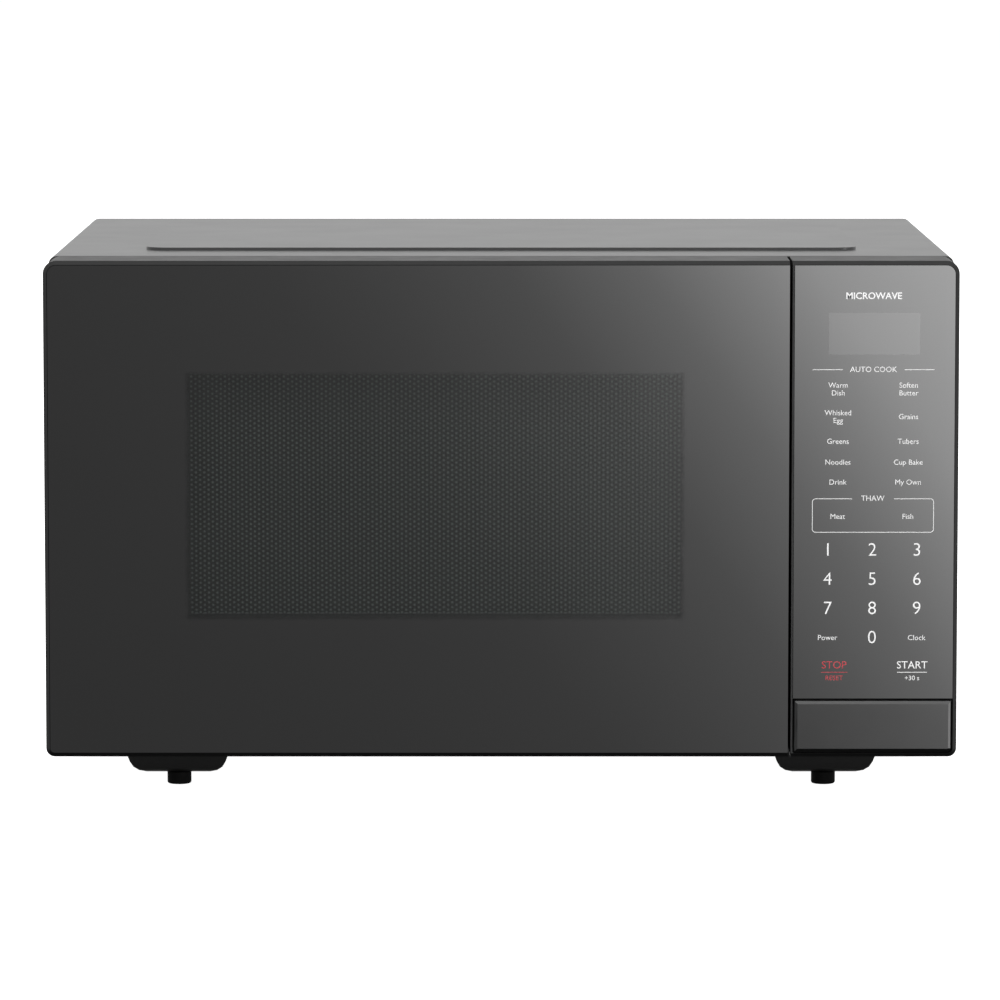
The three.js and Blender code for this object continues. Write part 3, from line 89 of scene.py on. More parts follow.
# ---------- Shader nodes ----------
def math_node(tree, operation, *sources):
    """A maths node; each source is a number or another node's output."""
    node = tree.nodes.new("ShaderNodeMath")
    node.operation = operation
    for socket, source in zip(node.inputs, sources):
        if isinstance(source, float):
            socket.default_value = source
        else:
            tree.links.new(source, socket)
    return node.outputs[0]


def map_range(tree, source, from_span, to_span=(0.0, 1.0)):
    """Maps one span of a value onto another, and holds it at the ends."""
    node = tree.nodes.new("ShaderNodeMapRange")
    node.inputs["From Min"].default_value, node.inputs["From Max"].default_value = from_span
    node.inputs["To Min"].default_value, node.inputs["To Max"].default_value = to_span
    tree.links.new(source, node.inputs["Value"])
    return node.outputs[0]


def mix_shaders(tree, factor, first, second):
    node = tree.nodes.new("ShaderNodeMixShader")
    for socket, source in zip(node.inputs, (factor, first, second)):
        tree.links.new(source, socket)
    return node.outputs[0]


def split_axes(tree, vector):
    node = tree.nodes.new("ShaderNodeSeparateXYZ")
    tree.links.new(vector, node.inputs[0])
    return node.outputs


# ---------- Studio: camera, lights, floor ----------
CAMERA_DISTANCE = 3.457
CAMERA_SIDE = -0.0007
CAMERA_RISE = 0.223
CAMERA_PITCH = math.radians(5.93)
LENS = 220.0


def make_camera():
    data = bpy.data.cameras.new("camera")
    data.lens = LENS
    data.sensor_width = 36.0
    data.clip_end = 200.0
    camera = bpy.data.objects.new("camera", data)
    camera.location = (CAMERA_SIDE, FRONT_Y - CAMERA_DISTANCE, DOOR_HI.z + CAMERA_RISE)
    camera.rotation_euler = (math.pi / 2 - CAMERA_PITCH, 0.0, 0.0)
    bpy.context.collection.objects.link(camera)
    bpy.context.scene.camera = camera


def area_light(name, place, target, size):
    """A softbox that faces the target; the camera doesn't see it."""
    data = bpy.data.lights.new(name, "AREA")
    data.shape = "RECTANGLE"
    data.size, data.size_y = size
    data.energy = SOFTBOX_RADIANCE * math.pi * size[0] * size[1]
    light = bpy.data.objects.new(name, data)
    light.location = place
    light.rotation_euler = (target - place).to_track_quat("-Z", "Y").to_euler()
    light.visible_camera = False
    bpy.context.collection.objects.link(light)


WORLD_STRENGTH = 1.02
# Heights of the view's direction between which the surround goes from dark to white.
WORLD_FADE = (-0.5, -0.12)
FLOOR_GLOW = 1.0
UNDERFOOT_LEVEL = 0.05
SOFTBOX_RADIANCE = 6.0
# Each softbox: its place from the middle of the door button, and its size, in metres.
SOFTBOXES = {
    "overhead_softbox": ((0.0, -1.03, 1.72), (2.4, 0.6)),
    "right_softbox": ((1.72, -1.03, 0.0), (0.6, 1.4)),
}
CARD_DISTANCE = 1.5
CARD_HALF_WIDTH = 0.75
CARD_HEIGHTS = (-0.45, 0.36)
# The card glows along a diagonal: (place on the diagonal in metres, glow), dim at lower left.
CARD_GLOW = [
    (-0.45, 0.6),
    (-0.05, 0.82),
    (0.15, 1.5),
    (0.26, 2.85),
    (0.33, 4.4),
    (0.40, 6.5),
    (0.52, 9.4),
]
CARD_SLOPE = 0.695


def make_world():
    """A white surround that darkens below the floor, so that undersides stay dark."""
    world = bpy.data.worlds.new("studio")
    bpy.context.scene.world = world
    world.use_nodes = True
    tree = world.node_tree
    background = tree.nodes["Background"]
    background.inputs["Strength"].default_value = WORLD_STRENGTH
    direction = tree.nodes.new("ShaderNodeTexCoord").outputs["Generated"]
    level = map_range(tree, split_axes(tree, direction)["Z"], WORLD_FADE, (UNDERFOOT_LEVEL, 1.0))
    tree.links.new(level, background.inputs["Color"])


def plane(name, points):
    mesh = bpy.data.meshes.new(name)
    mesh.from_pydata(points, [], [tuple(range(len(points)))])
    obj = bpy.data.objects.new(name, mesh)
    bpy.context.collection.objects.link(obj)
    return obj


def make_floor():
    reach = 14.0
    signs = ((-1, -1), (1, -1), (1, 1), (-1, 1))
    floor = plane("floor", [(x * reach, y * reach, 0.0) for x, y in signs])
    floor.data.materials.append(floor_material())
    floor.visible_glossy = False
    floor.visible_diffuse = False


def floor_material():
    """White with a glow of its own, so that it shows next to no shadow."""
    m = Material("floor_paint")
    m.set(Roughness=0.9, Specular_IOR_Level=0.1)
    m.set(Emission_Color=(1.0, 1.0, 1.0, 1.0), Emission_Strength=FLOOR_GLOW)
    m.mix_colours(m.noise(scale=2.0, detail=2.0), grey(0.60), grey(0.62))
    return m.material


def make_reflection_card():
    """A glowing card in front of the oven, seen only in its glossy surfaces."""
    y = FRONT_Y - CARD_DISTANCE
    low, high = CARD_HEIGHTS
    left, right = -CARD_HALF_WIDTH, CARD_HALF_WIDTH
    card = plane("reflection_card", [(left, y, low), (left, y, high), (right, y, high), (right, y, low)])
    material = bpy.data.materials.new("card_glow")
    material.use_nodes = True
    tree = material.node_tree
    tree.nodes.clear()
    output = tree.nodes.new("ShaderNodeOutputMaterial")
    emission = tree.nodes.new("ShaderNodeEmission")
    transparent = tree.nodes.new("ShaderNodeBsdfTransparent")
    geometry = tree.nodes.new("ShaderNodeNewGeometry")
    axes = split_axes(tree, tree.nodes.new("ShaderNodeTexCoord").outputs["Object"])
    diagonal = math_node(tree, "MULTIPLY_ADD", axes["Z"], CARD_SLOPE, axes["X"])
    start, end = CARD_GLOW[0][0], CARD_GLOW[-1][0]
    peak = CARD_GLOW[-1][1]
    ramp = tree.nodes.new("ShaderNodeValToRGB")
    ramp.color_ramp.interpolation = "B_SPLINE"
    stops = ramp.color_ramp.elements
    while len(stops) < len(CARD_GLOW):
        stops.new(0.5)
    for stop, (at, glow) in zip(stops, CARD_GLOW):
        stop.position = (at - start) / (end - start)
        stop.color = (glow / peak,) * 3 + (1.0,)
    emission.inputs["Strength"].default_value = peak
    tree.links.new(map_range(tree, diagonal, (start, end)), ramp.inputs["Fac"])
    tree.links.new(ramp.outputs["Color"], emission.inputs["Color"])
    one_sided = mix_shaders(tree, geometry.outputs["Backfacing"], emission.outputs[0], transparent.outputs[0])
    tree.links.new(one_sided, output.inputs["Surface"])
    card.data.materials.append(material)
    card.visible_camera = False
    card.visible_diffuse = False
    card.visible_shadow = False
    card.visible_transmission = False


def make_studio():
    bpy.context.scene.view_settings.view_transform = "Standard"
    make_camera()
    make_world()
    make_floor()
    make_reflection_card()
    button = (BUTTON_LO + BUTTON_HI) / 2
    for name, (offset, size) in SOFTBOXES.items():
        area_light(name, button + Vector(offset), button, size)


# ---------- Materials ----------
# Noise values mostly lie in this span.
NOISE_SPAN = (0.3, 0.7)


class Material:
    """A Principled material whose detail comes from noise in the object's own space."""

    def __init__(self, name):
        self.material = bpy.data.materials.new(name)
        self.material.use_nodes = True
        self.tree = self.material.node_tree
        self.shader = self.tree.nodes["Principled BSDF"]
        self.output = self.tree.nodes["Material Output"]
        self.place = self.tree.nodes.new("ShaderNodeTexCoord").outputs["Object"]

    def set(self, **values):
        for name, value in values.items():
            self.shader.inputs[name.replace("_", " ")].default_value = value

    def stretched(self, scale):
        node = self.tree.nodes.new("ShaderNodeMapping")
        node.inputs["Scale"].default_value = scale
        self.tree.links.new(self.place, node.inputs["Vector"])
        return node.outputs[0]

    def noise(self, scale, detail=3.0, stretch=None):
        node = self.tree.nodes.new("ShaderNodeTexNoise")
        node.inputs["Scale"].default_value = scale
        node.inputs["Detail"].default_value = detail
        place = self.stretched(stretch) if stretch else self.place
        self.tree.links.new(place, node.inputs["Vector"])
        return node.outputs["Fac"]

    def mix_colours(self, factor, low, high):
        """Colours the surface between two tones, and returns the colour."""
        ramp = self.tree.nodes.new("ShaderNodeValToRGB")
        for stop, position, colour in zip(ramp.color_ramp.elements, NOISE_SPAN, (low, high)):
            stop.position = position
            stop.color = (*colour, 1.0)
        self.tree.links.new(factor, ramp.inputs["Fac"])
        self.tree.links.new(ramp.outputs["Color"], self.shader.inputs["Base Color"])
        return ramp.outputs["Color"]

    def vary_roughness(self, factor, low, high):
        roughness = map_range(self.tree, factor, NOISE_SPAN, (low, high))
        self.tree.links.new(roughness, self.shader.inputs["Roughness"])

    def bump(self, height, strength, distance):
        node = self.tree.nodes.new("ShaderNodeBump")
        node.inputs["Strength"].default_value = strength
        node.inputs["Distance"].default_value = distance
        self.tree.links.new(height, node.inputs["Height"])
        self.tree.links.new(node.outputs[0], self.shader.inputs["Normal"])


def grey(value):
    return (value, value, value)


def enamel(name, low, high, roughness, grain=1400.0, strength=0.12, **values):
    """Sprayed and baked paint: a fine orange peel, and a slow change of tone and gloss."""
    m = Material(name)
    m.set(**values)
    m.mix_colours(m.noise(scale=9.0, detail=4.0), low, high)
    m.vary_roughness(m.noise(scale=25.0, detail=3.0), *roughness)
    m.bump(m.noise(scale=grain, detail=2.0), strength, 0.06 * MM)
    return m.material


def moulded(name, low, high, roughness, grain=2600.0, strength=0.08, **values):
    """Moulded plastic with a fine spark-eroded grain."""
    m = Material(name)
    m.set(**values)
    m.mix_colours(m.noise(scale=40.0, detail=4.0), low, high)
    m.vary_roughness(m.noise(scale=70.0, detail=3.0), *roughness)
    m.bump(m.noise(scale=grain, detail=1.0), strength, 0.04 * MM)
    return m.material


def sheet_steel(name, low, high, roughness):
    """Zinc-coated sheet with its crystal spangle and faint rolling lines."""
    m = Material(name)
    m.set(Metallic=1.0)
    cells = m.tree.nodes.new("ShaderNodeTexVoronoi")
    cells.inputs["Scale"].default_value = 180.0
    m.tree.links.new(m.place, cells.inputs["Vector"])
    m.mix_colours(cells.outputs["Distance"], low, high)
    m.vary_roughness(m.noise(scale=60.0, stretch=(1.0, 30.0, 1.0)), *roughness)
    m.bump(m.noise(scale=900.0, detail=2.0), 0.1, 0.05 * MM)
    return m.material


def window_mask(m, x_span, z_span, soft=0.15 * MM):
    """1 inside a rectangle of the front, 0 outside, from the object's own coordinates."""
    axes = split_axes(m.tree, m.place)
    masks = []
    for axis, (low, high) in (("X", x_span), ("Z", z_span)):
        offset = math_node(m.tree, "SUBTRACT", axes[axis], (low + high) / 2)
        distance = math_node(m.tree, "ABSOLUTE", offset)
        half = (high - low) / 2
        masks.append(map_range(m.tree, distance, (half + soft, half - soft)))
    return math_node(m.tree, "MULTIPLY", *masks)


def see_through(m, tint, roughness, mask=None):
    """Makes a material clear where the mask says: tinted, and glossy on its outer faces."""
    tree = m.tree
    transparent = tree.nodes.new("ShaderNodeBsdfTransparent")
    transparent.inputs["Color"].default_value = (*tint, 1.0)
    gloss = tree.nodes.new("ShaderNodeBsdfGlossy")
    gloss.inputs["Roughness"].default_value = roughness
    fresnel = tree.nodes.new("ShaderNodeFresnel")
    fresnel.inputs["IOR"].default_value = GLASS_IOR
    backfacing = tree.nodes.new("ShaderNodeNewGeometry").outputs["Backfacing"]
    outside = math_node(tree, "SUBTRACT", 1.0, backfacing)
    outer_gloss = math_node(tree, "MULTIPLY", fresnel.outputs[0], outside)
    surface = mix_shaders(tree, outer_gloss, transparent.outputs[0], gloss.outputs[0])
    if mask is not None:
        surface = mix_shaders(tree, mask, m.shader.outputs[0], surface)
    tree.links.new(surface, m.output.inputs["Surface"])


def black_glass(name, clear=None, dim=None):
    """Back-painted glass: polished, with faint smears. The paint may leave a clear or a dim window."""
    m = Material(name)
    m.set(IOR=1.5)
    paint = m.mix_colours(m.noise(scale=6.0), grey(0.0035), grey(0.0045))
    m.vary_roughness(m.noise(scale=14.0, detail=5.0, stretch=(1.0, 1.0, 2.5)), 0.015, 0.045)
    if dim:
        lighter = m.tree.nodes.new("ShaderNodeMix")
        lighter.data_type = "RGBA"
        lighter.inputs["B"].default_value = (*grey(DISPLAY_TONE), 1.0)
        m.tree.links.new(window_mask(m, *dim), lighter.inputs["Factor"])
        m.tree.links.new(paint, lighter.inputs["A"])
        m.tree.links.new(lighter.outputs["Result"], m.shader.inputs["Base Color"])
    if clear:
        see_through(m, WINDOW_TINT, 0.03, window_mask(m, *clear, soft=1.2 * MM))
    return m.material


def clear_glass(name, tint):
    m = Material(name)
    m.bump(m.noise(scale=60.0), 0.05, 0.1 * MM)
    see_through(m, tint, 0.02)
    return m.material


def hazy_film():
    """The inner film of the door: a greyish green haze that still shows what is behind it."""
    m = Material("clear_film")
    m.set(Roughness=0.3, Alpha=0.55)
    m.mix_colours(m.noise(scale=30.0), (0.30, 0.345, 0.325), (0.33, 0.375, 0.355))
    return m.material


def ink(name, colour):
    m = Material(name)
    m.set(Roughness=0.45)
    dim = tuple(0.93 * c for c in colour)
    m.mix_colours(m.noise(scale=700.0), dim, colour)
    return m.material


def circuit_board():
    m = Material("circuit_board")
    m.set(Roughness=0.4)
    brick = m.tree.nodes.new("ShaderNodeTexBrick")
    brick.inputs["Scale"].default_value = 90.0
    brick.inputs["Color1"].default_value = (0.02, 0.10, 0.045, 1.0)
    brick.inputs["Color2"].default_value = (0.03, 0.15, 0.06, 1.0)
    brick.inputs["Mortar"].default_value = (0.10, 0.26, 0.12, 1.0)
    brick.inputs["Mortar Size"].default_value = 0.03
    m.tree.links.new(m.place, brick.inputs["Vector"])
    m.tree.links.new(brick.outputs["Color"], m.shader.inputs["Base Color"])
    m.bump(brick.outputs["Fac"], 0.3, 0.1 * MM)
    return m.material


def copper_winding():
    m = Material("copper_winding")
    m.set(Metallic=0.8, Roughness=0.35)
    wave = m.tree.nodes.new("ShaderNodeTexWave")
    wave.bands_direction = "Y"
    wave.inputs["Scale"].default_value = 400.0
    m.tree.links.new(m.place, wave.inputs["Vector"])
    m.mix_colours(wave.outputs["Fac"], (0.32, 0.12, 0.05), (0.65, 0.30, 0.13))
    m.bump(wave.outputs["Fac"], 0.5, 0.3 * MM)
    return m.material


def make_materials():
    foot_tones = grey(0.003), grey(0.005)
    cabinet_tones = grey(0.021), grey(0.023)
    cavity_tones = (0.375, 0.37, 0.355), (0.385, 0.38, 0.365)
    return {
        "black_enamel": enamel("black_enamel", *cabinet_tones, (0.33, 0.35), strength=0.03, IOR=1.45),
        "front_glass": black_glass("front_glass", dim=DISPLAY),
        "door_window_glass": black_glass("door_window_glass", clear=(WINDOW_X, WINDOW_Z)),
        "door_plastic": moulded(
            "door_plastic", grey(0.003), grey(0.004), (0.46, 0.52), Specular_IOR_Level=0.3
        ),
        "button_plastic": moulded(
            "button_plastic", grey(0.004), grey(0.005), (0.15, 0.18), Specular_IOR_Level=0.36
        ),
        "housing_plastic": moulded("housing_plastic", grey(0.016), grey(0.021), (0.45, 0.55)),
        "white_plastic": moulded("white_plastic", (0.66, 0.65, 0.62), (0.72, 0.71, 0.68), (0.4, 0.5)),
        "cavity_enamel": enamel("cavity_enamel", *cavity_tones, (0.30, 0.32), strength=0.05),
        "inner_steel": sheet_steel("inner_steel", grey(0.42), grey(0.60), (0.28, 0.42)),
        "aluminium": sheet_steel("aluminium", grey(0.62), grey(0.74), (0.30, 0.45)),
        "foot_rubber": moulded("foot_rubber", *foot_tones, (0.6, 0.75), 1500.0, 0.2, Specular_IOR_Level=0.05),
        "clear_glass": clear_glass("clear_glass", (0.86, 0.93, 0.90)),
        "clear_film": hazy_film(),
        "mica": enamel("mica", (0.30, 0.24, 0.16), (0.42, 0.35, 0.25), (0.4, 0.6), 500.0, 0.4),
        "ferrite": enamel("ferrite", grey(0.03), grey(0.05), (0.6, 0.75), 900.0, 0.4),
        "circuit_board": circuit_board(),
        "copper": copper_winding(),
        "screen_enamel": enamel("screen_enamel", grey(0.003), grey(0.004), (0.5, 0.6)),
        "white_ink": ink("white_ink", grey(0.84)),
        "pale_ink": ink("pale_ink", grey(0.76)),
        "red_ink": ink("red_ink", (0.42, 0.012, 0.025)),
    }


# ---------- Mesh helpers ----------
def finish_piece(name, bm, material, body, replaced=(), sharp_angle=32.0):
    """Makes an object of a mesh: smooth faces, with edges over the angle kept sharp.

    body is the CAD body it rides on; given two bodies and two points instead, the piece is left unattached.
    """
    bmesh.ops.remove_doubles(bm, verts=bm.verts, dist=1e-6)
    bmesh.ops.recalc_face_normals(bm, faces=bm.faces)
    for face in bm.faces:
        face.smooth = True
    limit = math.radians(sharp_angle)
    for edge in bm.edges:
        if len(edge.link_faces) == 2:
            edge.smooth = edge.calc_face_angle() < limit
    mesh = bpy.data.meshes.new(name)
    bm.to_mesh(mesh)
    bm.free()
    obj = bpy.data.objects.new(name, mesh)
    bpy.context.collection.objects.link(obj)
    obj.data.materials.append(MATERIALS[material])
    if isinstance(body, str):
        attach(obj, body)
    else:
        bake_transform(obj)
    if replaced:
        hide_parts(*replaced)
    return obj


def add_box(bm, lo, hi):
    lo, hi = Vector(lo), Vector(hi)
    matrix = Matrix.Translation((lo + hi) / 2) @ Matrix.Diagonal((*(hi - lo), 1.0))
    bmesh.ops.create_cube(bm, size=1.0, matrix=matrix)


def circle(radius, count):
    """Points round a circle, as pairs."""
    angles = [2 * math.pi * i / count for i in range(count)]
    return [(radius * math.cos(angle), radius * math.sin(angle)) for angle in angles]


def turn_from_z(direction):
    """The turn that takes +Z to a direction."""
    return Vector((0.0, 0.0, 1.0)).rotation_difference(Vector(direction)).to_matrix().to_4x4()


def add_turned(bm, profile, segments, matrix):
    """Adds a surface turned about Z from (radius, height) points; points on the axis close it."""
    rings = []
    for radius, height in profile:
        points = circle(radius, segments) if radius > 0.0 else [(0.0, 0.0)]
        rings.append([bm.verts.new(matrix @ Vector((x, y, height))) for x, y in points])
    for lower, upper in zip(rings, rings[1:]):
        for i in range(segments):
            j = (i + 1) % segments
            face = [lower[i % len(lower)], lower[j % len(lower)]]
            face += [upper[j % len(upper)], upper[i % len(upper)]]
            unique = list(dict.fromkeys(face))
            if len(unique) > 2:
                bm.faces.new(unique)


def rounded_loop(x0, x1, y0, y1, radius, steps=8):
    """Points round a rectangle with round corners, anticlockwise from the lower right corner."""
    points = []
    for cx, cy, start in (
        (x1 - radius, y0 + radius, -90),
        (x1 - radius, y1 - radius, 0),
        (x0 + radius, y1 - radius, 90),
        (x0 + radius, y0 + radius, 180),
    ):
        for i in range(steps + 1):
            angle = math.radians(start + 90 * i / steps)
            points.append((cx + radius * math.cos(angle), cy + radius * math.sin(angle)))
    return points


def add_loop(bm, points):
    verts = [bm.verts.new(p) for p in points]
    edges = [bm.edges.new((verts[i], verts[(i + 1) % len(verts)])) for i in range(len(verts))]
    return verts, edges


def bridge(bm, lower, upper):
    for i in range(len(lower)):
        j = (i + 1) % len(lower)
        bm.faces.new((lower[i], lower[j], upper[j], upper[i]))


def fill(bm, edges):
    """Fills the area inside an outline and outside its holes."""
    bmesh.ops.triangle_fill(bm, use_beauty=True, use_dissolve=False, edges=edges)


def thicken(obj, thickness):
    """Gives a sheet its thickness, inwards from the modelled face."""
    modifier = obj.modifiers.new("thickness", "SOLIDIFY")
    modifier.thickness = thickness
    modifier.offset = -1.0


def even_normals(obj):
    """Lets large flat faces keep their own normals beside small rounded ones."""
    modifier = obj.modifiers.new("normals", "WEIGHTED_NORMAL")
    modifier.keep_sharp = True
    modifier.weight = 80


def round_edges(obj, width):
    modifier = obj.modifiers.new("edges", "BEVEL")
    modifier.width = width
    modifier.segments = 2
    modifier.limit_method = "ANGLE"
    modifier.angle_limit = math.radians(35.0)


# ---------- Cabinet ----------
EMBOSS_HALF_WIDTH = 207.3 * MM
EMBOSS_FRONT = 49.6 * MM
EMBOSS_REAR = 60 * MM
EMBOSS_CORNER = 13 * MM
EMBOSS_RUN = 0.3 * MM
EMBOSS_SUPPORT = 0.3 * MM
EMBOSS_STEPS = 8
BEND = 5 * MM
BEND_STEPS = 12
LIP = 0.8 * MM
LIP_STEPS = 4
VENT_COUNT = 9
VENT_PITCH = 8 * MM
VENT_SIZE = (3 * MM, 16 * MM)
VENT_CORNER = 1.3 * MM
VENT_ROW_GAP = 8 * MM
VENTS_TO_REAR = 40 * MM
VENTS_TO_FOOT = 60 * MM


def top_sheet(bm, x0, x1, y0, y1):
    """The flat top with its raised plateau; the step rises through a smooth S."""
    edge0 = CABINET_LO.y + EMBOSS_FRONT
    edge1 = CABINET_HI.y - EMBOSS_REAR
    loops = []
    for i in range(-1, EMBOSS_STEPS + 2):
        t = min(max(i / EMBOSS_STEPS, 0.0), 1.0)
        rise = EMBOSS_RISE * (0.5 - 0.5 * math.cos(math.pi * t))
        support = EMBOSS_SUPPORT if i > EMBOSS_STEPS else -EMBOSS_SUPPORT if i < 0 else 0.0
        inset = EMBOSS_RUN * t + support
        half_width = EMBOSS_HALF_WIDTH - inset
        corner = EMBOSS_CORNER - inset
        outline = rounded_loop(-half_width, half_width, edge0 + inset, edge1 - inset, corner)
        loops.append(add_loop(bm, [(x, y, CABINET_TOP + rise) for x, y in outline]))
    for (lower, _), (upper, _) in zip(loops, loops[1:]):
        bridge(bm, lower, upper)
    bm.faces.new(loops[-1][0])
    _, outer = add_loop(bm, [(x, y, CABINET_TOP) for x, y in ((x0, y0), (x1, y0), (x1, y1), (x0, y1))])
    fill(bm, outer + loops[0][1])


def side_sheet(bm, x, y0, y1, z0, z1):
    """A flat side with two rows of vent slots."""
    _, edges = add_loop(bm, [(x, y0, z0), (x, y1, z0), (x, y1, z1), (x, y0, z1)])
    first = CABINET_HI.y - VENTS_TO_REAR - VENT_COUNT * VENT_PITCH
    for row in range(2):
        z = CABINET_LO.z + VENTS_TO_FOOT + row * (VENT_SIZE[1] + VENT_ROW_GAP)
        for i in range(VENT_COUNT):
            y = first + i * VENT_PITCH
            outline = rounded_loop(y, y + VENT_SIZE[0], z, z + VENT_SIZE[1], VENT_CORNER, steps=3)
            edges += add_loop(bm, [(x, u, v) for u, v in outline])[1]
    fill(bm, edges)


def bend_outline(x0, x1, z0, inset=0.0):
    """The cabinet's section: up one side, round both bends and down the other side."""
    radius = BEND - inset
    height = CABINET_TOP - BEND
    angles = [math.pi / 2 * i / BEND_STEPS for i in range(BEND_STEPS + 1)]
    rising = [(x0 + BEND - radius * math.cos(a), height + radius * math.sin(a)) for a in angles]
    falling = [(x1 - BEND + radius * math.cos(a), height + radius * math.sin(a)) for a in reversed(angles)]
    return [(x0 + inset, z0), *rising, *falling, (x1 - inset, z0)]


def front_lip(bm, x0, x1, y0, z0):
    """The rolled front edge of the folded sheet."""
    rows = []
    for i in range(LIP_STEPS + 1):
        angle = math.pi / 2 * i / LIP_STEPS
        y = y0 + LIP * (1 - math.sin(angle))
        inset = LIP * (1 - math.cos(angle))
        rows.append([bm.verts.new((x, y, z)) for x, z in bend_outline(x0, x1, z0, inset)])
    for outer, inner in zip(rows, rows[1:]):
        for k in range(len(outer) - 1):
            bm.faces.new((outer[k], outer[k + 1], inner[k + 1], inner[k]))


def make_cabinet():
    bm = bmesh.new()
    x0, x1 = CABINET_LO.x, CABINET_HI.x
    y0, y1 = CABINET_LO.y, CABINET_HI.y
    z0 = CABINET_LO.z
    front_lip(bm, x0, x1, y0, z0)
    top_sheet(bm, x0 + BEND, x1 - BEND, y0 + LIP, y1)
    for x in (x0, x1):
        side_sheet(bm, x, y0 + LIP, y1, z0, CABINET_TOP - BEND)
    section = bend_outline(x0, x1, z0)
    for bend in (section[1 : BEND_STEPS + 2], section[BEND_STEPS + 2 : -1]):
        arc = [(bm.verts.new((x, y0 + LIP, z)), bm.verts.new((x, y1, z))) for x, z in bend]
        for (a, b), (c, d) in zip(arc, arc[1:]):
            bm.faces.new((a, b, d, c))
    cabinet = finish_piece("cabinet_wrap", bm, "black_enamel", "oven", ["outer_cabinet"])
    thicken(cabinet, SHEET)
    even_normals(cabinet)


FOOT_EDGE = 1.2 * MM
FOOT_EDGE_STEPS = 6
FOOT_CHAMFER = 0.4 * MM
FOOT_STEM_RADIUS = 3 * MM
FOOT_STEM_LENGTH = 3.4 * MM


def make_feet():
    for node in ("foot_front_left", "foot_front_right", "foot_rear_left", "foot_rear_right"):
        lo, hi = corners(node)
        radius = (hi.x - lo.x) / 2
        top = hi.z
        shoulder = top - FOOT_STEM_LENGTH
        flat = radius - FOOT_EDGE
        profile = [(0.0, 0.0), (flat, 0.0)]
        for i in range(FOOT_EDGE_STEPS + 1):
            angle = math.pi / 2 * i / FOOT_EDGE_STEPS
            profile.append((flat + FOOT_EDGE * math.sin(angle), FOOT_EDGE * (1 - math.cos(angle))))
        profile += [(radius, shoulder - FOOT_CHAMFER), (radius - FOOT_CHAMFER, shoulder)]
        profile += [(FOOT_STEM_RADIUS, shoulder), (FOOT_STEM_RADIUS, top), (0.0, top)]
        bm = bmesh.new()
        add_turned(bm, profile, 48, Matrix.Translation(((lo.x + hi.x) / 2, (lo.y + hi.y) / 2, 0.0)))
        finish_piece(node + "_pad", bm, "foot_rubber", "oven", [node])


# ---------- Screws ----------
SCREW_RADIUS = 3.4 * MM
SCREW_HEIGHT = 1.8 * MM
SCREW_SIDES = 24
# Shares of the radius and of the height, from the seat to the rim of the flat top.
SCREW_PROFILE = ((1.0, 0.0), (1.0, 0.4), (0.93, 0.72), (0.72, 1.0))
CROSS_REACH = SCREW_RADIUS * 0.5
CROSS_HALF_WIDTH = SCREW_RADIUS * 0.13
CROSS_FLOOR = SCREW_HEIGHT * 0.4
REAR_SCREW_EDGE = 11 * MM
SIDE_SCREW_FRONT = 60 * MM
SIDE_SCREW_REAR = 30 * MM
SIDE_SCREW_RISE = 14 * MM


def add_screw(bm, place, facing):
    """A round-headed screw with a cross recess; its head looks along facing."""
    matrix = Matrix.Translation(place) @ turn_from_z(facing)

    def add_level(points, height):
        return add_loop(bm, [matrix @ Vector((x, y, height)) for x, y in points])

    rings = [add_level(circle(SCREW_RADIUS * r, SCREW_SIDES), SCREW_HEIGHT * h) for r, h in SCREW_PROFILE]
    for (lower, _), (upper, _) in zip(rings, rings[1:]):
        bridge(bm, lower, upper)
    reach, half = CROSS_REACH, CROSS_HALF_WIDTH
    arm = [(reach, -half), (reach, half), (half, half)]
    cross = arm + [(-y, x) for x, y in arm] + [(-x, -y) for x, y in arm] + [(y, -x) for x, y in arm]
    top = add_level(cross, SCREW_HEIGHT)
    floor = add_level(cross, CROSS_FLOOR)
    fill(bm, rings[-1][1] + top[1])
    bridge(bm, top[0], floor[0])
    fill(bm, floor[1])


def make_screws():
    """Screws that hold the rear panel, and the cabinet at the foot of each side."""
    lo, hi = corners("rear_panel")
    bm = bmesh.new()
    for x in (lo.x + REAR_SCREW_EDGE, (lo.x + hi.x) / 2, hi.x - REAR_SCREW_EDGE):
        for z in (lo.z + REAR_SCREW_EDGE, hi.z - REAR_SCREW_EDGE):
            add_screw(bm, (x, hi.y, z), (0.0, 1.0, 0.0))
    finish_piece("rear_screws", bm, "aluminium", "oven")
    bm = bmesh.new()
    for x, sign in ((CABINET_LO.x, -1.0), (CABINET_HI.x, 1.0)):
        for y in (CABINET_LO.y + SIDE_SCREW_FRONT, CABINET_HI.y - SIDE_SCREW_REAR):
            add_screw(bm, (x, y, CABINET_LO.z + SIDE_SCREW_RISE), (sign, 0.0, 0.0))
    finish_piece("side_screws", bm, "black_enamel", "oven")


# ---------- Door screen ----------
SCREEN_SHEET = 1.0 * MM
SCREEN_FLANGE = 14 * MM
HOLE_PITCH_X = 2.4 * MM
HOLE_PITCH_Z = 2.82 * MM
HOLE_RADIUS = 0.72 * MM
HOLE_DEPTH = 0.12 * MM
MESH_TO_FILM = 0.16 * MM
PAN_TO_FILM = 0.3 * MM
HOLE_COLUMNS = int((WINDOW_X[1] - WINDOW_X[0]) / HOLE_PITCH_X)
HOLE_ROWS = int((WINDOW_Z[1] - WINDOW_Z[0]) / HOLE_PITCH_Z)


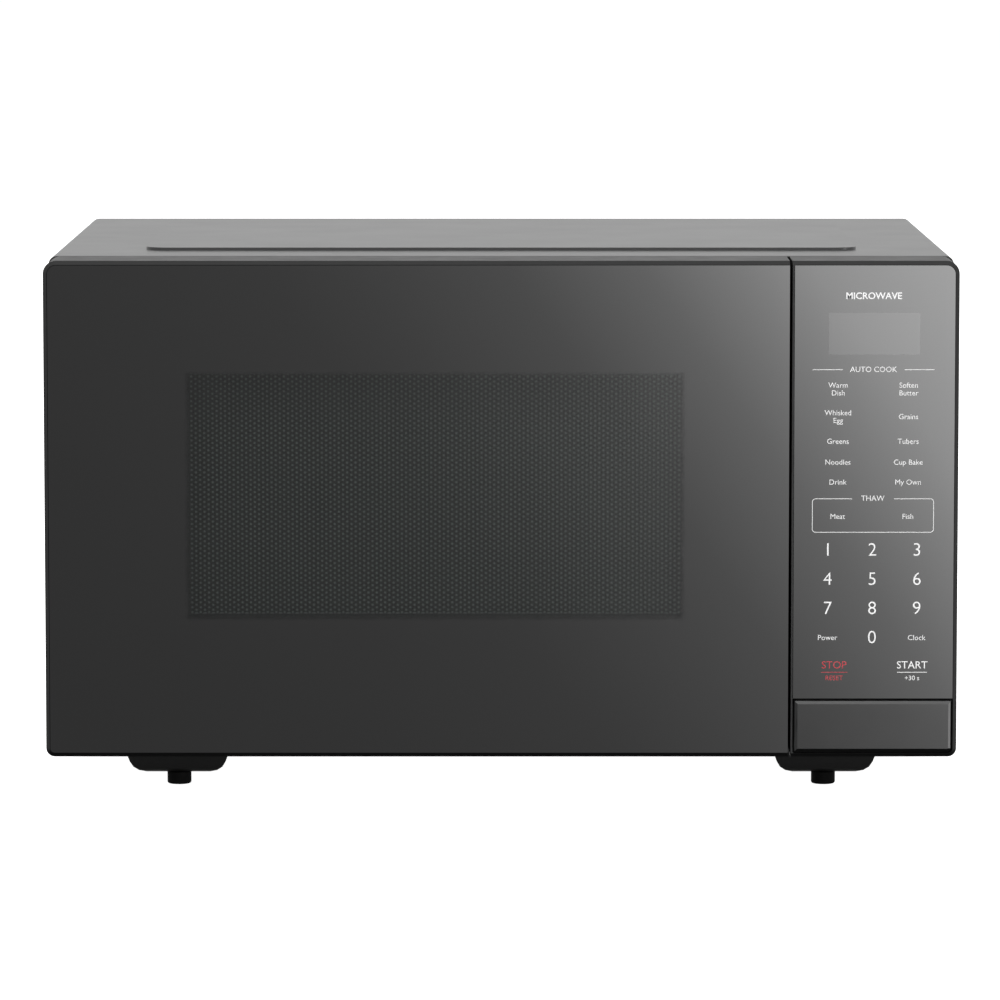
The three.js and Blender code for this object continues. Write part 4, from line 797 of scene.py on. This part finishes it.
def make_screen():
    """The pan of the door screen with its perforated window."""
    lo, hi = corners("door_screen")
    well_front = FILM_LO.y - PAN_TO_FILM - SCREEN_SHEET
    sx0, sx1 = WINDOW_X[0] - SCREEN_FLANGE, WINDOW_X[1] + SCREEN_FLANGE
    sz0, sz1 = WINDOW_Z[0] - SCREEN_FLANGE, WINDOW_Z[1] + SCREEN_FLANGE
    t = SCREEN_SHEET
    bm = bmesh.new()
    for x in (lo.x, hi.x - t):
        add_box(bm, (x, lo.y, lo.z), (x + t, hi.y, hi.z))
    for z in (lo.z, hi.z - t):
        add_box(bm, (lo.x + t, lo.y, z), (hi.x - t, hi.y, z + t))
    frame_plate(bm, (lo.x + t, hi.x - t), (lo.z + t, hi.z - t), (sx0, sx1), (sz0, sz1), hi.y - t, hi.y)
    frame_plate(bm, (sx0 - t, sx1 + t), (sz0 - t, sz1 + t), (sx0, sx1), (sz0, sz1), well_front, hi.y - t)
    mesh_x, mesh_z = mesh_span()
    frame_plate(bm, (sx0, sx1), (sz0, sz1), mesh_x, mesh_z, well_front, well_front + t)
    finish_piece("door_screen_pan", bm, "screen_enamel", "door", ["door_screen"])
    make_perforated_sheet(FILM_LO.y - MESH_TO_FILM)


def mesh_span():
    """The sides of the window in the screen, which hide the ragged edge of its cells."""
    half_x = (HOLE_COLUMNS - 1) * HOLE_PITCH_X / 2 + HOLE_RADIUS
    half_z = (HOLE_ROWS - 0.5) * HOLE_PITCH_Z / 2 + HOLE_RADIUS
    x, z = sum(WINDOW_X) / 2, sum(WINDOW_Z) / 2
    return (x - half_x, x + half_x), (z - half_z, z + half_z)


def frame_plate(bm, outer_x, outer_z, inner_x, inner_z, y0, y1):
    """A flat rectangular ring."""
    add_box(bm, (outer_x[0], y0, outer_z[0]), (outer_x[1], y1, inner_z[0]))
    add_box(bm, (outer_x[0], y0, inner_z[1]), (outer_x[1], y1, outer_z[1]))
    add_box(bm, (outer_x[0], y0, inner_z[0]), (inner_x[0], y1, inner_z[1]))
    add_box(bm, (inner_x[1], y0, inner_z[0]), (outer_x[1], y1, inner_z[1]))


def make_perforated_sheet(y):
    """Six-sided cells, each with a hole, tile the window in staggered columns."""
    start_x = (WINDOW_X[0] + WINDOW_X[1] - (HOLE_COLUMNS - 1) * HOLE_PITCH_X) / 2
    start_z = (WINDOW_Z[0] + WINDOW_Z[1] - (HOLE_ROWS - 0.5) * HOLE_PITCH_Z) / 2
    wide = HOLE_PITCH_X * 2 / 3
    cell = [(wide, 0), (wide / 2, HOLE_PITCH_Z / 2), (-wide / 2, HOLE_PITCH_Z / 2)]
    cell += [(-x, -z) for x, z in cell]
    hole = circle(HOLE_RADIUS, 6)
    verts, faces = [], []
    for i in range(HOLE_COLUMNS):
        for j in range(HOLE_ROWS):
            cx = start_x + i * HOLE_PITCH_X
            cz = start_z + (j + 0.5 * (i % 2)) * HOLE_PITCH_Z
            base = len(verts)
            verts += [(cx + x, y, cz + z) for x, z in cell]
            verts += [(cx + x, y, cz + z) for x, z in hole]
            verts += [(cx + x, y + HOLE_DEPTH, cz + z) for x, z in hole]
            for k in range(6):
                m = (k + 1) % 6
                faces.append((base + k, base + m, base + 6 + m, base + 6 + k))
                faces.append((base + 6 + k, base + 6 + m, base + 12 + m, base + 12 + k))
    mesh = bpy.data.meshes.new("door_screen_mesh")
    mesh.from_pydata(verts, [], faces)
    bm = bmesh.new()
    bm.from_mesh(mesh)
    bpy.data.meshes.remove(mesh)
    finish_piece("door_screen_mesh", bm, "screen_enamel", "door")


# ---------- Turntable ----------
TRAY_THICKNESS = 5 * MM
TRAY_SLOPE_RISE = 4 * MM
WHEEL_RADIUS = 7 * MM
WHEEL_BORE = 2.6 * MM
WHEEL_HALF_LENGTH = 3.5 * MM


def make_tray():
    """The turned glass tray; its profile gives distances inwards from the outer edge and heights."""
    lo, hi = corners("glass_tray")
    centre = (lo + hi) / 2
    radius = (hi.x - lo.x) / 2
    rim = hi.z - lo.z
    flat = radius - 39 * MM
    top = TRAY_SLOPE_RISE + TRAY_THICKNESS
    under = [(0.0, 0.0), (flat, 0.0)]
    under += [(radius - 13 * MM, TRAY_SLOPE_RISE), (radius - 0.6 * MM, rim - 4.6 * MM)]
    edge = [(radius, rim - 3.4 * MM), (radius, rim - 1.6 * MM)]
    edge += [(radius - 0.8 * MM, rim - 0.3 * MM), (radius - 2.2 * MM, rim)]
    over = [(radius - 3.4 * MM, rim - 0.6 * MM), (radius - 14 * MM, top)]
    over += [(flat - 1 * MM, TRAY_THICKNESS), (0.0, TRAY_THICKNESS)]
    bm = bmesh.new()
    add_turned(bm, under + edge + over, 96, Matrix.Translation((centre.x, centre.y, lo.z)))
    finish_piece("tray_glass", bm, "clear_glass", "tray", ["glass_tray"], 50.0)


def make_rollers():
    tray_lo, tray_hi = corners("glass_tray")
    hub = (tray_lo + tray_hi) / 2
    r, half = WHEEL_RADIUS, WHEEL_HALF_LENGTH
    profile = [(WHEEL_BORE, -half), (r - 1 * MM, -half)]
    profile += [(r - 0.3 * MM, -half + 0.3 * MM), (r, -half + 1 * MM)]
    profile += [(radius, -height) for radius, height in reversed(profile)]
    profile.append((WHEEL_BORE, -half))
    for number in (1, 2, 3):
        node = f"roller_{number}"
        lo, hi = corners(node)
        centre = (lo + hi) / 2
        outward = Vector((centre.x - hub.x, centre.y - hub.y, 0.0)).normalized()
        bm = bmesh.new()
        add_turned(bm, profile, 40, Matrix.Translation(centre) @ turn_from_z(outward))
        finish_piece(f"{node}_wheel", bm, "white_plastic", node, [node])


# ---------- Springs ----------
SPRING_WIRE = 0.45 * MM
SPRING_TURNS = 7
SPRING_STEPS = 20
SPRING_SIDES = 10


def make_spring(node, axis, first_body, last_body):
    """A coil of round wire with a closed turn at each end, between two bodies; it is attached to neither."""
    lo, hi = corners(node)
    along = "xyz".index(axis)
    across = [k for k in range(3) if k != along]
    centre = (lo + hi) / 2
    radius = (hi.x - lo.x) / 2 - SPRING_WIRE
    length = hi[along] - lo[along] - 2 * SPRING_WIRE
    pitch = (length - 4 * SPRING_WIRE) / (SPRING_TURNS - 2)
    bm = bmesh.new()
    rings = []
    for i in range(SPRING_TURNS * SPRING_STEPS + 1):
        turn = i / SPRING_STEPS
        rise = 2 * SPRING_WIRE * (min(turn, 1.0) + max(turn - SPRING_TURNS + 1, 0.0))
        rise += pitch * min(max(turn - 1.0, 0.0), SPRING_TURNS - 2)
        angle = 2 * math.pi * turn
        ring = []
        for out, up in circle(SPRING_WIRE, SPRING_SIDES):
            point = Vector()
            point[across[0]] = centre[across[0]] + (radius + out) * math.cos(angle)
            point[across[1]] = centre[across[1]] + (radius + out) * math.sin(angle)
            point[along] = lo[along] + SPRING_WIRE + up + rise
            ring.append(bm.verts.new(point))
        rings.append(ring)
    for lower, upper in zip(rings, rings[1:]):
        bridge(bm, lower, upper)
    bm.faces.new(rings[0])
    bm.faces.new(rings[-1])
    first, last = centre.copy(), centre.copy()
    first[along], last[along] = lo[along], hi[along]
    bodies = (first_body, last_body, first, last)
    finish_piece(node + "_coil", bm, "inner_steel", bodies, [node], 60.0)


# ---------- Control panel legends ----------
INK_LIFT = 0.04 * MM
INK_LINE = 0.35 * MM
CAPITAL_SHARE = 0.73
STACK_PITCH = 4.4 * MM
# Sizes of lettering, by the height of a capital.
TITLE = 3.9 * MM
HEADING = 3.2 * MM
WORD = 3.1 * MM
DIGIT = 7.8 * MM
COMMAND = 4.4 * MM
NOTE = 2.8 * MM
TITLE_WEIGHT = 0.00007
DIGIT_WEIGHT = -0.0001
# Levels below the top of the glass, and distances from the middle of the keys.
LEGEND_SHIFT = 0.7 * MM
TITLE_LEVEL = 17.4 * MM
PRESET_TITLE_LEVEL = 59.2 * MM
PRESETS = [
    (70.4 * MM, ("Warm", "Dish"), ("Soften", "Butter")),
    (86.1 * MM, ("Whisked", "Egg"), ("Grains",)),
    (100.2 * MM, ("Greens",), ("Tubers",)),
    (112.1 * MM, ("Noodles",), ("Cup Bake",)),
    (123.5 * MM, ("Drink",), ("My Own",)),
]
PRESET_COLUMN = 20.0 * MM
RULE = (17.5 * MM, 34.5 * MM)
BOX_LEVEL = 132.7 * MM
BOX_HEIGHT = 19.5 * MM
BOX_SIDES = (34.5 * MM, 34.8 * MM)
BOX_CORNER = 2 * MM
BOX_CORNER_STEPS = 5
BOX_GAP = 24 * MM
BOX_WORDS_DROP = 10.4 * MM
KEYS_LEVEL = 162.3 * MM
KEY_COLUMN = 25.4 * MM
KEY_ROW = 16.75 * MM
COMMAND_DROP = 15.8 * MM
COMMAND_RULE_DROP = 4.0 * MM
NOTE_DROP = 7.4 * MM


def text_mesh(bm, words, x, z, height, weight=0.0):
    """Adds flat lettering on the front: x and z place its middle, height is that of a capital."""
    curve = bpy.data.curves.new("words", "FONT")
    curve.body = words
    curve.size = height / CAPITAL_SHARE
    curve.align_x = "CENTER"
    curve.align_y = "CENTER"
    curve.offset = weight
    curve.resolution_u = 3
    holder = bpy.data.objects.new("words", curve)
    mesh = bpy.data.meshes.new_from_object(holder)
    turn = Matrix.Translation((x, FRONT_Y - INK_LIFT, z)) @ Matrix.Rotation(math.pi / 2, 4, "X")
    mesh.transform(turn)
    bm.from_mesh(mesh)
    bpy.data.objects.remove(holder)
    bpy.data.curves.remove(curve)
    bpy.data.meshes.remove(mesh)


def ink_line(bm, x0, x1, z):
    y = FRONT_Y - INK_LIFT
    low, high = z - INK_LINE / 2, z + INK_LINE / 2
    bm.faces.new([bm.verts.new(p) for p in ((x0, y, low), (x1, y, low), (x1, y, high), (x0, y, high))])


def ink_frame(bm, x0, x1, z0, z1):
    """A rounded outline with a gap in its top side for a title."""
    y = FRONT_Y - INK_LIFT
    outer = rounded_loop(x0, x1, z0, z1, BOX_CORNER, BOX_CORNER_STEPS)
    inner_sides = (x0 + INK_LINE, x1 - INK_LINE, z0 + INK_LINE, z1 - INK_LINE)
    inner = rounded_loop(*inner_sides, BOX_CORNER - INK_LINE, BOX_CORNER_STEPS)
    outside = [bm.verts.new((u, y, v)) for u, v in outer]
    inside = [bm.verts.new((u, y, v)) for u, v in inner]
    top_side = 2 * (BOX_CORNER_STEPS + 1) - 1
    for i in range(len(outside)):
        j = (i + 1) % len(outside)
        if i != top_side:
            bm.faces.new((outside[i], outside[j], inside[j], inside[i]))
    middle = (x0 + x1) / 2
    ink_line(bm, middle + BOX_GAP / 2, x1 - BOX_CORNER, z1 - INK_LINE / 2)
    ink_line(bm, x0 + BOX_CORNER, middle - BOX_GAP / 2, z1 - INK_LINE / 2)


def stacked(bm, lines, x, z):
    """Small words, one line over another."""
    for i, words in enumerate(lines):
        text_mesh(bm, words, x, z + (len(lines) - 1 - 2 * i) * STACK_PITCH / 2, WORD)


def make_legends():
    centre = (GLASS_LO.x + GLASS_HI.x) / 2 - LEGEND_SHIFT
    top = GLASS_HI.z
    white, pale, red = bmesh.new(), bmesh.new(), bmesh.new()
    text_mesh(white, "MICROWAVE", centre, top - TITLE_LEVEL, TITLE, TITLE_WEIGHT)
    text_mesh(pale, "AUTO COOK", centre, top - PRESET_TITLE_LEVEL, HEADING)
    for side in (-1, 1):
        ink_line(pale, centre + side * RULE[0], centre + side * RULE[1], top - PRESET_TITLE_LEVEL)
    for level, *pair in PRESETS:
        for side, lines in zip((-1, 1), pair):
            stacked(pale, lines, centre + side * PRESET_COLUMN, top - level)
    box_top = top - BOX_LEVEL
    ink_frame(pale, centre - BOX_SIDES[0], centre + BOX_SIDES[1], box_top - BOX_HEIGHT, box_top)
    text_mesh(pale, "THAW", centre, box_top, HEADING)
    stacked(pale, ("Meat",), centre - PRESET_COLUMN, box_top - BOX_WORDS_DROP)
    stacked(pale, ("Fish",), centre + PRESET_COLUMN, box_top - BOX_WORDS_DROP)
    first = top - KEYS_LEVEL
    zero = first - 3 * KEY_ROW
    for i in range(9):
        place = centre + (i % 3 - 1) * KEY_COLUMN, first - (i // 3) * KEY_ROW
        text_mesh(white, str(i + 1), *place, DIGIT, DIGIT_WEIGHT)
    text_mesh(white, "0", centre, zero, DIGIT, DIGIT_WEIGHT)
    stacked(pale, ("Power",), centre - KEY_COLUMN, zero)
    stacked(pale, ("Clock",), centre + KEY_COLUMN, zero)
    last = zero - COMMAND_DROP
    commands = [
        (red, "STOP", "RESET", -21.5 * MM, (-29 * MM, -14 * MM)),
        (white, "START", "+30 s", 23 * MM, (14.5 * MM, 31.5 * MM)),
    ]
    for bm, word, note, x, rule in commands:
        text_mesh(bm, word, centre + x, last, COMMAND)
        ink_line(bm, centre + rule[0], centre + rule[1], last - COMMAND_RULE_DROP)
        text_mesh(bm, note, centre + x, last - NOTE_DROP, NOTE)
    finish_piece("key_digits", white, "white_ink", "oven")
    finish_piece("key_words", pale, "pale_ink", "oven")
    finish_piece("key_stop", red, "red_ink", "oven")


# ---------- CAD nodes' own finishes ----------
EDGE_WIDTHS = {
    "door_glass": 0.3 * MM,
    "control_glass": 0.3 * MM,
    "door_frame": 0.3 * MM,
    "control_housing": 0.3 * MM,
    "door_button": 0.4 * MM,
    "door_choke_cover": 0.6 * MM,
    "latch_bar": 0.5 * MM,
}
# Pieces shaded smooth: the CAD node, its body, and the angle from which an edge stays sharp.
SMOOTH_TWINS = [
    ("base_plate", "oven", 32.0),
    ("door_frame", "door", 30.0),
    ("control_housing", "oven", 30.0),
    ("door_button", "button", 25.0),
    ("fan_impeller", "fan", 30.0),
    ("turntable_coupler", "coupler", 30.0),
]
# Nodes whose look differs from that of their slot.
LOOKS = {"door_glass": "door_window_glass", "door_button": "button_plastic"}


def look_of(node):
    return LOOKS.get(node, SLOTS[node])


def dress_cad_nodes():
    for name, obj in frame["nodes"].items():
        obj.data.materials.clear()
        obj.data.materials.append(MATERIALS[look_of(name)])
    for name, width in EDGE_WIDTHS.items():
        round_edges(frame["nodes"][name], width)


def smooth_twin(node, body, sharp_angle):
    """A copy of a CAD piece whose curved faces are shaded smooth."""
    source = frame["nodes"][node]
    bm = bmesh.new()
    bm.from_mesh(source.data)
    bm.transform(source.matrix_world)
    twin = finish_piece(node + "_skin", bm, look_of(node), body, [node], sharp_angle)
    if node in EDGE_WIDTHS:
        round_edges(twin, EDGE_WIDTHS[node])
    even_normals(twin)


MATERIALS = make_materials()
make_studio()
dress_cad_nodes()
for twin_node, twin_body, twin_angle in SMOOTH_TWINS:
    smooth_twin(twin_node, twin_body, twin_angle)
make_cabinet()
make_feet()
make_screws()
make_screen()
make_tray()
make_rollers()
make_spring("button_spring", "y", "button", "oven")
make_spring("latch_spring", "z", "latch", "door")
make_legends()
